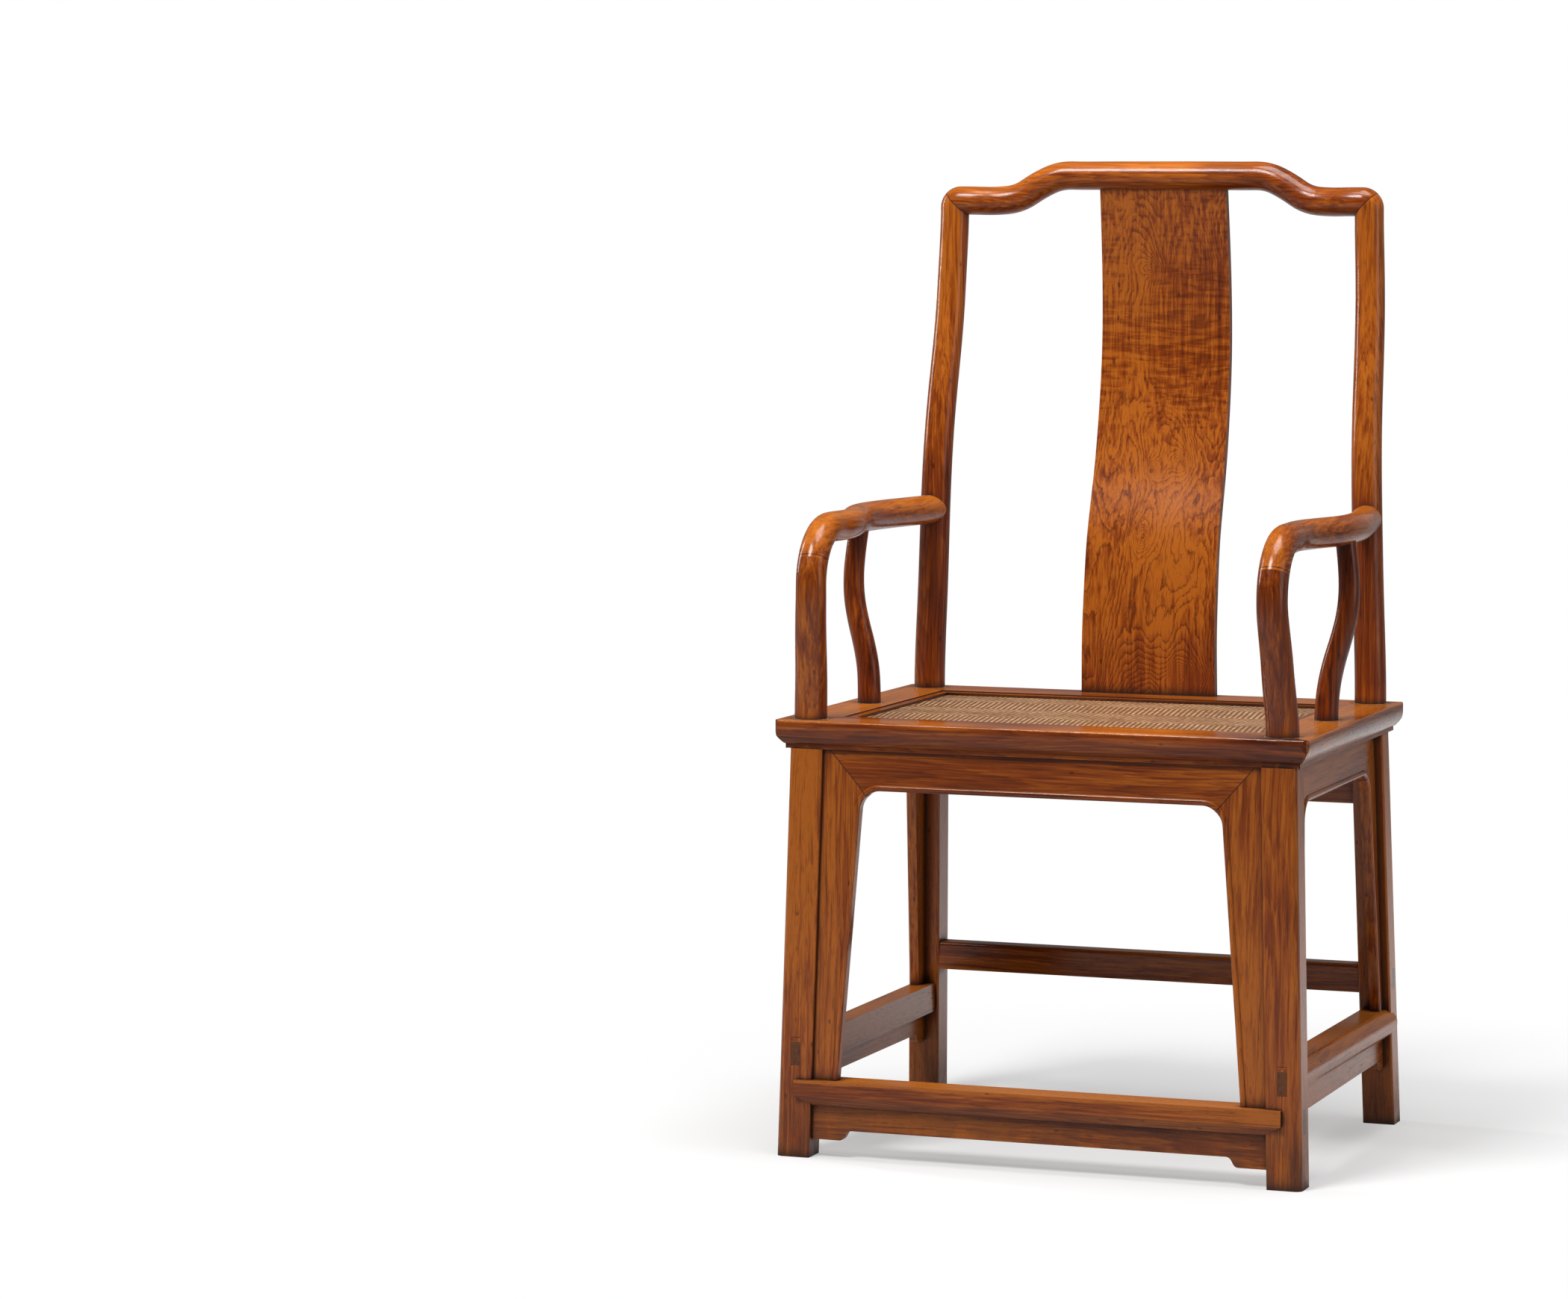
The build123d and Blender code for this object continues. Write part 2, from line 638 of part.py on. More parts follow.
def opening_side(corner, foot, inward):
    """Points of one upper corner of an apron opening: on the top edge, the cusp, on the side."""
    corner = Vector(*corner)
    down = (Vector(*foot) - corner).normalized()
    on_top = corner + Vector(inward * apron_corner_radius, 0)
    cusp = corner + Vector(inward * apron_cusp, -apron_cusp)
    on_side = corner + down * apron_corner_radius
    top_arc = TangentArc(on_top, cusp, tangent=(-inward, 0))
    side_arc = TangentArc(on_side, cusp, tangent=-down)
    return on_top, cusp, on_side, top_arc, side_arc, down


def bead(plane, path):
    """Rounded bead along the edge of an opening, on the outer face of the apron."""
    tangent = path % 0
    section = make_face([
        ThreePointArc((0, 0), (bead_width / 2, bead_height), (bead_width, 0)),
        Line((bead_width, 0), (bead_width, -bead_root)),
        Line((bead_width, -bead_root), (0, -bead_root)),
        Line((0, -bead_root), (0, 0)),
    ])
    start = Plane(origin=path @ 0, x_dir=plane.z_dir.cross(tangent), z_dir=tangent)
    return sweep(start * section, path=path)


def apron_frame(plane, top, foot, drop, low, widths):
    """Three mitred boards of an apron with a beaded, cusped opening, cut off at a height."""
    left_corner = (top[0] + widths[0], -apron_top_height)
    right_corner = (top[1] - widths[0], -apron_top_height)
    left_foot = (foot[0] + widths[1], -drop)
    right_foot = (foot[1] - widths[1], -drop)
    left = opening_side(left_corner, left_foot, 1)
    right = opening_side(right_corner, right_foot, -1)
    left_end = Vector(*left_foot) + left[5] * apron_foot_overrun
    right_end = Vector(*right_foot) + right[5] * apron_foot_overrun
    void = make_face([
        Line(left_end, left[2]), left[4], left[3], Line(left[0], right[0]),
        right[3], right[4], Line(right[2], right_end), Line(right_end, left_end),
    ])
    blank = apron_outline(top, foot, drop + apron_foot_overrun / 2, apron_tongue)
    boards = board(plane, blank, apron_thickness)
    boards -= extrude(plane * void, reach, both=True)
    mitre_tops = [Vector(top[0] + apron_mitre_inset, 0), Vector(top[1] - apron_mitre_inset, 0)]
    cusps = [left[1], right[1]]
    far_tops = [cusp + (mitre - cusp) * mitre_overrun for mitre, cusp in zip(mitre_tops, cusps)]
    wedge_face = Polyline(far_tops[0], far_tops[1], cusps[1], cusps[0], close=True)
    wedge = extrude(plane * make_face(wedge_face), reach, both=True)
    run_on = bead_width * 2
    top_path = Wire([
        Line(cusps[0] + (left[3] % 1) * run_on, cusps[0]), left[3],
        Line(left[0], right[0]), right[3], Line(cusps[1], cusps[1] + (right[3] % 1) * run_on),
    ])
    left_path = Wire([Line(left_end, left[2]), left[4],
                      Line(cusps[0], cusps[0] + (left[4] % 1) * run_on)])
    right_path = Wire([Line(cusps[1] + (right[4] % 1) * run_on, cusps[1]), right[4],
                       Line(right[2], right_end)])
    slab = between(low, seat_height)
    top_board = (boards & wedge) + (bead(plane, plane * top_path) & wedge)
    sides = boards - wedge
    left_half = plane * Pos((top[0] + top[1]) / 2 - reach / 2, 0, 0) * Box(reach, reach, reach)
    left_board = (sides & left_half) + (bead(plane, plane * left_path) - wedge)
    right_board = (sides - left_half) + (bead(plane, plane * right_path) - wedge)
    return top_board, left_board & slab, right_board & slab


def apron_groove(plane, top, foot, drop, low):
    """Groove for the tongue of an apron frame, cut off just under the foot of its boards."""
    outline = apron_outline(top, foot, drop + apron_foot_overrun / 2,
                            apron_tongue + joint_clearance)
    groove = board(plane, outline, apron_thickness, joint_clearance)
    return groove & between(low - joint_clearance, seat_height)


inner_top = front_leg_centre(seat_underside)[0] - front_leg_width / 2
inner_foot = front_leg_centre(footrest_top)[0] - front_leg_width / 2
front_face_y = front_leg_centre(seat_underside)[1] - leg_depth / 2
front_plane = leg_face_plane((0, front_face_y + apron_recess, seat_underside), (1, 0, 0),
                             (0, front_leg_rake, seat_underside))
front_drop = seat_underside - footrest_top
front_top = (-inner_top, inner_top)
front_foot = (-inner_foot, inner_foot)
front_pieces = apron_frame(front_plane, front_top, front_foot, front_drop, footrest_top,
                           front_board_widths)
front_groove = apron_groove(front_plane, front_top, front_foot, front_drop, footrest_top)


def side_points(z):
    """Points of the side apron's face on the front and the rear leg at a height."""
    front_x, front_y = front_leg_centre(z)
    rear_x, rear_y = rear_leg_centre(z)
    return (Vector(front_x + front_leg_width / 2 - side_apron_recess, front_y, z),
            Vector(rear_x + rear_leg_width / 2 - side_apron_recess, rear_y, z))


side_front, side_rear = side_points(seat_underside)
side_front_foot, side_rear_foot = side_points(side_stretcher_top)
side_along = side_rear - side_front
side_up = side_front - side_front_foot + side_rear - side_rear_foot
side_up = Vector(side_up.X, 0, side_up.Z)
side_plane = leg_face_plane(side_front, side_along, side_up)
side_drop = seat_underside - side_stretcher_top
half_depth = leg_depth / 2


def side_span(z):
    """Run of the side apron between the legs at a height, from the front post's line."""
    return (front_leg_centre(z)[1] + half_depth - side_front.Y,
            rear_leg_centre(z)[1] - half_depth - side_front.Y)


side_top = side_span(seat_underside)
side_foot = side_span(side_stretcher_top)
side_pieces = apron_frame(side_plane, side_top, side_foot, side_drop, side_stretcher_top,
                          side_board_widths)
side_groove = apron_groove(side_plane, side_top, side_foot, side_drop, side_stretcher_top)

rear_inner_top = rear_leg_centre(seat_underside)[0] - rear_leg_width / 2
rear_inner_foot = rear_leg_centre(seat_underside - rear_apron_height)[0] - rear_leg_width / 2
rear_face_y = rear_leg_centre(seat_underside)[1] + half_depth
rear_plane = leg_face_plane((0, rear_face_y - apron_recess, seat_underside), (-1, 0, 0),
                            (0, -rear_leg_rake, seat_underside))


def rear_board(gap):
    """Plain straight apron between the rear legs."""
    outline = apron_outline((-rear_inner_top, rear_inner_top), (-rear_inner_foot, rear_inner_foot),
                            rear_apron_height + gap, apron_tongue + gap)
    return board(rear_plane, outline, apron_thickness, gap)


# ---- footrest ---------------------------------------------------------------------------------
footrest_middle = (footrest_top + footrest_bottom) / 2
footrest_leg_x, footrest_leg_y = front_leg_centre(footrest_middle)
footrest_back = footrest_leg_y + half_depth - leg_arris_radius
footrest_end = footrest_leg_x - front_leg_width / 2 + footrest_lap
footrest_inner = footrest_end - footrest_lap
band_bottom = footrest_top - footrest_front_band
footrest_section = make_face(Polyline(
    (-footrest_projection, footrest_top), (-footrest_projection, band_bottom),
    (-footrest_projection + footrest_foot_recess, footrest_bottom),
    (footrest_back, footrest_bottom), (footrest_back, footrest_top), close=True))
footrest_view = make_face(Polyline(
    (-footrest_end, footrest_top), (footrest_end, footrest_top), (footrest_end, band_bottom),
    (footrest_inner, footrest_bottom), (-footrest_inner, footrest_bottom),
    (-footrest_end, band_bottom), close=True))
footrest = extrude(Plane.YZ * footrest_section, footrest_end, both=True)
footrest &= extrude(Plane.XZ * footrest_view, reach, both=True)
both_front_legs = front_leg_blank + mirror(front_leg_blank, about=Plane.YZ)
both_rear_legs = rear_leg_blank + mirror(rear_leg_blank, about=Plane.YZ)
footrest -= both_front_legs


def footrest_tenon(gap):
    """Through tenon of the footrest in the right-hand front leg."""
    half = footrest_tenon_thickness / 2 + gap
    inset = footrest_tenon_shoulder - gap
    return block(footrest_leg_x - front_leg_width, footrest_leg_x + front_leg_width,
                 footrest_leg_y - half, footrest_leg_y + half,
                 footrest_bottom + inset, footrest_top - inset)


footrest_tenon_end = footrest_tenon(0) & front_leg_blank
footrest += footrest_tenon_end + mirror(footrest_tenon_end, about=Plane.YZ)

# ---- side stretchers --------------------------------------------------------------------------
side_middle = (side_stretcher_top + side_stretcher_bottom) / 2
front_leg_at = Vector(*front_leg_centre(side_middle), 0)
rear_leg_at = Vector(*rear_leg_centre(side_middle), 0)
nose_front = front_leg_at + Vector(front_leg_width / 2 + side_stretcher_front_cover)
nose_rear = rear_leg_at + Vector(rear_leg_width / 2 + side_stretcher_rear_cover)
nose_along = (nose_rear - nose_front).normalized()
nose_outward = Vector(nose_along.Y, -nose_along.X, 0)
nose_end = (nose_rear - nose_front).length - half_depth + side_stretcher_lap
stretcher_section = make_face([
    Polyline((-side_stretcher_nose, side_stretcher_bottom),
             (-side_stretcher_depth, side_stretcher_bottom),
             (-side_stretcher_depth, side_stretcher_top),
             (-side_stretcher_nose, side_stretcher_top)),
    ThreePointArc((-side_stretcher_nose, side_stretcher_top), (0, side_middle),
                  (-side_stretcher_nose, side_stretcher_bottom)),
])
lap_start = nose_end - side_lap_round
stretcher_view = make_face([
    Polyline((lap_start, side_stretcher_top), (0, side_stretcher_top),
             (0, side_stretcher_bottom), (lap_start, side_stretcher_bottom)),
    ThreePointArc((lap_start, side_stretcher_bottom), (nose_end, side_middle),
                  (lap_start, side_stretcher_top)),
])
side_stretcher = extrude(Plane(origin=nose_front, x_dir=nose_outward, z_dir=-nose_along)
                         * stretcher_section, -nose_end)
side_stretcher &= extrude(Plane(origin=nose_front, x_dir=nose_along, z_dir=nose_outward)
                          * stretcher_view, reach, both=True)
side_stretcher -= leg_blanks
tenon_low = side_stretcher_bottom + stretcher_tenon_lift
tenon_high = tenon_low + stretcher_tenon_height


def stretcher_tenon(leg_at, gap, extra=0.0):
    """Through tenon of a side stretcher in a leg, with extra height for its wedge."""
    half = stretcher_tenon_thickness / 2 + gap
    return block(leg_at.X - half, leg_at.X + half, leg_at.Y - leg_depth, leg_at.Y + leg_depth,
                 tenon_low - gap, tenon_high + gap + extra)


side_stretcher += stretcher_tenon(front_leg_at, 0) & front_leg_blank
side_stretcher += stretcher_tenon(rear_leg_at, 0) & rear_leg_blank
wedge_half = stretcher_tenon_thickness / 2
wedge_view = Polyline(
    (front_leg_at.Y - leg_depth, tenon_high), (front_leg_at.Y - leg_depth, tenon_high + wedge_height),
    (front_leg_at.Y - half_depth + wedge_length, tenon_high + wedge_tip_height),
    (front_leg_at.Y - half_depth + wedge_length, tenon_high), close=True)
wedge = Pos(front_leg_at.X, 0, 0) * extrude(Plane.YZ * make_face(wedge_view), wedge_half, both=True)
wedge &= front_leg_blank

# ---- rear stretcher ---------------------------------------------------------------------------
rear_middle = (rear_stretcher_top + rear_stretcher_bottom) / 2
rear_leg_x, rear_leg_y = rear_leg_centre(rear_middle)
rear_front_y = rear_leg_y - half_depth + rear_stretcher_setback
rear_stretcher = block(-rear_leg_x, rear_leg_x, rear_front_y, rear_front_y + rear_stretcher_depth,
                       rear_stretcher_bottom, rear_stretcher_top)
rear_stretcher = fillet(rear_stretcher.edges().filter_by(Axis.X).group_by(Axis.Z)[-1],
                        rear_stretcher_arris)
rear_stretcher -= both_rear_legs


def rear_tenon(gap):
    """Through tenon of the rear stretcher in the right-hand rear leg."""
    half_y = stretcher_tenon_thickness / 2 + gap
    half_z = rear_tenon_height / 2 + gap
    return block(rear_leg_x - rear_leg_width, rear_leg_x + rear_leg_width,
                 rear_leg_y - half_y, rear_leg_y + half_y, rear_middle - half_z, rear_middle + half_z)


rear_tenon_end = rear_tenon(0) & rear_leg_blank
rear_stretcher += rear_tenon_end + mirror(rear_tenon_end, about=Plane.YZ)


# ---- aprons under the footrest and the side stretchers ----------------------------------------
def bracket_face(start, end, height, flat, tongue):
    """Low apron whose ends hang down in ogee feet."""
    foot = -height - spandrel_drop
    left_foot = (start + flat, foot)
    right_foot = (end - flat, foot)
    left_rise = (start + flat + spandrel_ogee, -height)
    right_rise = (end - flat - spandrel_ogee, -height)
    return make_face([
        Polyline(left_foot, (start - tongue, foot), (start - tongue, tongue), (end + tongue, tongue),
                 (end + tongue, foot), right_foot),
        Spline(right_foot, right_rise, tangents=[(-1, 0), (-1, 0)]),
        Line(right_rise, left_rise),
        Spline(left_rise, left_foot, tangents=[(-1, 0), (-1, 0)]),
    ])


low_front_x = front_leg_centre(footrest_bottom)[0] - front_leg_width / 2
low_front_y = front_leg_centre(footrest_bottom)[1] - half_depth + lower_front_recess
low_front_plane = leg_face_plane((0, low_front_y, footrest_bottom), (1, 0, 0),
                                 (0, front_leg_rake, seat_underside))
low_side_start, low_side_end = side_span(side_stretcher_bottom)
low_side_origin = (side_plane.origin - side_plane.y_dir * (seat_underside - side_stretcher_bottom)
                   - side_plane.z_dir * (lower_side_recess - side_apron_recess))
low_side_plane = Plane(origin=low_side_origin, x_dir=side_plane.x_dir, z_dir=side_plane.z_dir)


def footrest_bracket(gap):
    """Apron under the footrest."""
    face = bracket_face(-low_front_x, low_front_x, footrest_apron_height + gap,
                        spandrel_flat + gap, apron_tongue + gap)
    return board(low_front_plane, face, lower_apron_thickness, gap)


def side_bracket(gap):
    """Apron under the right-hand side stretcher."""
    face = bracket_face(low_side_start, low_side_end, side_apron_height + gap,
                        side_spandrel_flat + gap, apron_tongue + gap)
    return board(low_side_plane, face, lower_apron_thickness, gap)


side_bracket_groove = side_bracket(joint_clearance)
footrest_bracket_groove = footrest_bracket(joint_clearance)
footrest -= footrest_bracket_groove
side_stretcher -= side_bracket_groove

# ---- legs -------------------------------------------------------------------------------------
front_leg = front_leg_blank + neck(front_post_x, front_post_y, 0) + post_rod
front_leg += bend(0, arm_joint_angle)
front_leg += joint_peg(0)
front_leg -= front_groove + side_groove + footrest_bracket_groove + side_bracket_groove
front_leg -= footrest_tenon(joint_clearance)
front_leg -= stretcher_tenon(front_leg_at, joint_clearance, wedge_height)

stile_top = (stile_rod + knuckle) - above_mitre
rear_leg = rear_leg_blank + neck(rear_post_x, rear_post_y, 0) + stile_top
rear_leg += crest_peg(0) - above_mitre + (crest_peg(0) & knuckle)
rear_leg -= stile_peg(joint_clearance)
rear_leg -= side_groove + side_bracket_groove + rear_board(joint_clearance)
rear_leg -= rear_tenon(joint_clearance)
rear_leg -= stretcher_tenon(rear_leg_at, joint_clearance)

arm = arm_blank - stile_rod + stile_peg(0)
arm -= joint_peg(joint_clearance)
arm -= strut_top_peg(joint_clearance)
strut = strut_rod - arm_blank + strut_foot_peg(0) + strut_top_peg(0)

# ---- seat frame with its cuts -----------------------------------------------------------------
frame_cuts = neck_holes + rabbet + brace_mortises + front_groove + rear_board(joint_clearance)
side_cuts = side_groove + strut_foot_peg(joint_clearance)
frame_cuts += side_cuts + mirror(side_cuts, about=Plane.YZ)
front_rail -= frame_cuts
rear_rail -= frame_cuts
rear_rail -= splat_board(joint_clearance)
right_rail -= frame_cuts

# ---- woven seat -------------------------------------------------------------------------------
seat_grow = rabbet_width - joint_clearance
seat_webbing = prism(opening(seat_grow), webbing_bottom, webbing_top)
seat_cane = prism(opening(seat_grow), webbing_top, cane_top)
strip_sides = [prism(mitred_quarter(side, opening(0), opening(seat_grow), 0), cane_top, strip_top)
               for side in range(4)]

# ---- all pieces -------------------------------------------------------------------------------
mirrored("front_leg", front_leg)
mirrored("rear_leg", rear_leg)
mirrored("arm", arm)
mirrored("arm_strut", strut)
parts["crest_rail"] = crest
parts["splat"] = splat
parts["seat_rail_front"] = front_rail
parts["seat_rail_rear"] = rear_rail
mirrored("seat_end", right_rail)
parts["seat_cane"] = seat_cane
parts["seat_webbing"] = seat_webbing
parts["cane_strip_front"] = strip_sides[0]
parts["cane_strip_rear"] = strip_sides[2]
mirrored("cane_strip", strip_sides[1])
mirrored("seat_brace", brace)
parts["front_apron_top"], parts["front_apron_left"], parts["front_apron_right"] = front_pieces
mirrored("side_apron_top", side_pieces[0])
mirrored("side_apron_front", side_pieces[1])
mirrored("side_apron_rear", side_pieces[2])
parts["rear_apron"] = rear_board(0)
parts["footrest"] = footrest
parts["footrest_apron"] = footrest_bracket(0)
mirrored("side_stretcher", side_stretcher)
mirrored("side_stretcher_apron", side_bracket(0))
parts["rear_stretcher"] = rear_stretcher
parts["tenon_wedges"] = Compound([wedge, mirror(wedge, about=Plane.YZ)])

whole = Compound(list(parts.values())).bounding_box()
to_origin = Pos(0, -(whole.min.Y + whole.max.Y) / 2, -whole.min.Z)
os.makedirs("parts", exist_ok=True)
for name, solid in parts.items():
    export_step(to_origin * solid, os.path.join("parts", name + ".step"))
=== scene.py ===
"""Looks of the southern official's hat armchair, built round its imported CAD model."""
import math

import bmesh
import bpy
import numpy as np
from mathutils import Matrix, Vector


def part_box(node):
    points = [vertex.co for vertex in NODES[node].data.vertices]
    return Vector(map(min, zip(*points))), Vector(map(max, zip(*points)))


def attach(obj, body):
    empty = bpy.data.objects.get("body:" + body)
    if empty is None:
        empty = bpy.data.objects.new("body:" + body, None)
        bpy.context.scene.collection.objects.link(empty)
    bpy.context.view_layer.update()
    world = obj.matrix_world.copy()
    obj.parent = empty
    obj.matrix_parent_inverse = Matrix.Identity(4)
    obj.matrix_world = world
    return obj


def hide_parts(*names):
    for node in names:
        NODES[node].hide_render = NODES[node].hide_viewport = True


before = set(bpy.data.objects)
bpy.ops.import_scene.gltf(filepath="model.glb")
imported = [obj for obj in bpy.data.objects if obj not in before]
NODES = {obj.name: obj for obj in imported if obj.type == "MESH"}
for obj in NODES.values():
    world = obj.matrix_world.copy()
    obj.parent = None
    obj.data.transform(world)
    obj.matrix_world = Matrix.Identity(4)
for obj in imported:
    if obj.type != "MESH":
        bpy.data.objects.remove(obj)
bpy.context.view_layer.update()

# ---- camera ------------------------------------------------------------------------------------
IMAGE_WIDTH = 2100.0
FOCAL_PIXELS = 7085.69
SENSOR_WIDTH = 36.0
CAMERA_YAW = -0.357278
CAMERA_PITCH = 0.088672
CAMERA_ROLL = -0.001679
CAMERA_OFFSET = (0.366870, 6.079116)   # sideways and forward from the camera to the chair
CAMERA_HEIGHT = 1.108658


def make_camera():
    """Camera at the photograph's place, looking a little down, with no shift."""
    yaw_cos, yaw_sin = math.cos(CAMERA_YAW), math.sin(CAMERA_YAW)
    side = Vector((yaw_cos, -yaw_sin, 0))
    ahead = Vector((yaw_sin, yaw_cos, 0))
    place = -side * CAMERA_OFFSET[0] - ahead * CAMERA_OFFSET[1]
    place.z = CAMERA_HEIGHT
    forward = ahead * math.cos(CAMERA_PITCH) - Vector((0, 0, math.sin(CAMERA_PITCH)))
    level_up = ahead * math.sin(CAMERA_PITCH) + Vector((0, 0, math.cos(CAMERA_PITCH)))
    right = side * math.cos(CAMERA_ROLL) - level_up * math.sin(CAMERA_ROLL)
    up = side * math.sin(CAMERA_ROLL) + level_up * math.cos(CAMERA_ROLL)
    data = bpy.data.cameras.new("camera")
    data.sensor_width = SENSOR_WIDTH
    data.sensor_fit = "HORIZONTAL"
    data.lens = FOCAL_PIXELS / IMAGE_WIDTH * SENSOR_WIDTH
    data.clip_end = 200
    camera = bpy.data.objects.new("camera", data)
    camera.matrix_world = Matrix((
        (right.x, up.x, -forward.x, place.x),
        (right.y, up.y, -forward.y, place.y),
        (right.z, up.z, -forward.z, place.z),
        (0, 0, 0, 1),
    ))
    bpy.context.scene.collection.objects.link(camera)
    bpy.context.scene.camera = camera


make_camera()


# ---- node helpers ------------------------------------------------------------------------------
class Tree:
    """Small helper that adds and joins shader nodes."""

    def __init__(self, material):
        material.use_nodes = True
        self.nodes = material.node_tree.nodes
        self.links = material.node_tree.links
        self.nodes.clear()

    def add(self, kind, inputs=None, **settings):
        node = self.nodes.new(kind)
        for key, value in settings.items():
            setattr(node, key, value)
        for key, value in (inputs or {}).items():
            if isinstance(value, bpy.types.NodeSocket):
                self.links.new(value, node.inputs[key])
            else:
                node.inputs[key].default_value = value
        return node

    def math(self, operation, a, b=0.0, c=0.0):
        return self.add("ShaderNodeMath", {0: a, 1: b, 2: c}, operation=operation).outputs[0]

    def vector(self, operation, a, b=(0, 0, 0)):
        return self.add("ShaderNodeVectorMath", {0: a, 1: b}, operation=operation).outputs[0]

    def scaled(self, vector, factors):
        return self.vector("MULTIPLY", vector, factors)

    def measure(self, operation, a, b=(0, 0, 0)):
        """Vector operation whose result is a number: a dot product, a length or a distance."""
        node = self.add("ShaderNodeVectorMath", {0: a, 1: b}, operation=operation)
        return node.outputs["Value"]

    def noise(self, vector, scale, detail=2.0, roughness=0.5):
        node = self.add("ShaderNodeTexNoise", {"Vector": vector, "Scale": scale, "Detail": detail,
                                               "Roughness": roughness})
        return node.outputs["Fac"]

    def wander(self, vector, scale, detail, reach):
        """The vector, pushed about by up to half a reach along each axis."""
        node = self.add("ShaderNodeTexNoise", {"Vector": vector, "Scale": scale, "Detail": detail})
        push = self.vector("SUBTRACT", node.outputs["Color"], (0.5, 0.5, 0.5))
        return self.vector("ADD", vector, self.scaled(push, reach))

    def spread(self, value, low, high, out_low=0.0, out_high=1.0):
        node = self.add("ShaderNodeMapRange", {"Value": value, "From Min": low, "From Max": high,
                                               "To Min": out_low, "To Max": out_high},
                        interpolation_type="SMOOTHSTEP")
        return node.outputs[0]

    def ramp(self, value, stops):
        node = self.add("ShaderNodeValToRGB", {0: value})
        elements = node.color_ramp.elements
        while len(elements) > 1:
            elements.remove(elements[-1])
        elements[0].position, elements[0].color = stops[0][0], (*stops[0][1], 1)
        for place, colour in stops[1:]:
            elements.new(place).color = (*colour, 1)
        return node.outputs[0]

    def mix(self, share, first, second, blend="MIX"):
        sockets = {0: share}
        for key, colour in ((6, first), (7, second)):
            plain = isinstance(colour, tuple)
            sockets[key] = (*colour, 1) if plain else colour
        node = self.add("ShaderNodeMix", sockets, data_type="RGBA", blend_type=blend,
                        clamp_factor=True)
        return node.outputs[2]

    def split(self, vector):
        return self.add("ShaderNodeSeparateXYZ", {0: vector}).outputs

    def surface(self, **inputs):
        """Principled surface; a name's underscores stand for the spaces of the socket's name."""
        inputs = {name.replace("_", " "): value for name, value in inputs.items()}
        shader = self.add("ShaderNodeBsdfPrincipled", inputs)
        self.add("ShaderNodeOutputMaterial", {"Surface": shader.outputs[0]})


# ---- places of joints --------------------------------------------------------------------------
SEAT_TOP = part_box("seat_rail_front")[1][2]
RING_LEVEL = SEAT_TOP + 0.001   # level at which the feet of the posts are cut to find their rings


def cut_ring(node, height):
    """Centre and radius of a round node where a level plane cuts it."""
    cut = bmesh.new()
    cut.from_mesh(NODES[node].data)
    found = bmesh.ops.bisect_plane(cut, geom=[*cut.verts, *cut.edges, *cut.faces],
                                   plane_co=(0, 0, height), plane_no=(0, 0, 1))
    points = np.array([tuple(item.co) for item in found["geom_cut"]
                       if isinstance(item, bmesh.types.BMVert)])
    cut.free()
    low, high = points.min(axis=0), points.max(axis=0)
    centre = (low + high) / 2
    return (float(centre[0]), float(centre[1])), float(high[0] - low[0]) / 2


BASE_RINGS = [cut_ring(node, RING_LEVEL)
              for node in ("front_leg_right", "arm_strut_right", "rear_leg_right")]


def plan_line(first, second):
    """Upright plane through two points of the plan, as a point and a normal."""
    along = Vector((second[0] - first[0], second[1] - first[1], 0)).normalized()
    return (first[0], first[1], 0.0), (along.y, -along.x, 0.0)


def tilted_line(origin, normal):
    """Plane through a point, square to a direction, as a point and a normal."""
    return tuple(origin), tuple(Vector(normal).normalized())


def front_line(first, second):
    """Plane through two points (x, z) of the front view, running straight back."""
    return tilted_line((first[0], 0, first[1]), (second[1] - first[1], 0, first[0] - second[0]))


def side_line(first, second):
    """Plane through two points (y, z) of the side view, running straight across."""
    return tilted_line((0, first[0], first[1]), (0, second[1] - first[1], first[0] - second[0]))


seat_low, seat_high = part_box("seat_rail_front")
end_low, end_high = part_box("seat_end_right")
rear_low, rear_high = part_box("seat_rail_rear")
SEAT_MITRES = [
    plan_line((end_low[0], seat_high[1]), (end_high[0], seat_low[1])),
    plan_line((end_low[0], rear_low[1]), (rear_high[0], rear_high[1])),
]

ARM_HEIGHT = 0.715              # middle of the arm above the floor
BEND_RADIUS = 0.062             # bend between the arm and the front post
PIPE_RADIUS = 0.0172
PIPE_JOINT_ANGLE = math.radians(25.0)
arm_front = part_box("arm_right")[0]
PIPE_JOINT = tilted_line(
    ((arm_front[0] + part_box("front_leg_right")[1][0]) / 2,
     arm_front[1] + BEND_RADIUS + PIPE_RADIUS,
     ARM_HEIGHT - BEND_RADIUS),
    (0, math.sin(PIPE_JOINT_ANGLE), math.cos(PIPE_JOINT_ANGLE)),
)

CREST_CORNER = (0.24695, 1.0756)         # across and up, on the mitre of crest rail and stile
CREST_MITRE = front_line(CREST_CORNER, (CREST_CORNER[0] + 0.1, CREST_CORNER[1] + 0.1))

APRON_INNER_HEIGHT = 0.41521             # where the apron mitres meet the rounded inner corners
APRON_TOP = 0.467
FRONT_APRON_INNER = 0.20378              # across, at the inner end of the front mitre
FRONT_APRON_OUTER = 0.24868              # across, at its upper end
SIDE_APRON_SPANS = ((-0.1638, -0.19771), (0.12328, 0.15717))   # inner and upper ends, front first
FRONT_APRON_MITRE = front_line((FRONT_APRON_INNER, APRON_INNER_HEIGHT),
                               (FRONT_APRON_OUTER, APRON_TOP))
SIDE_APRON_MITRES = [side_line((inner, APRON_INNER_HEIGHT), (outer, APRON_TOP))
                     for inner, outer in SIDE_APRON_SPANS]


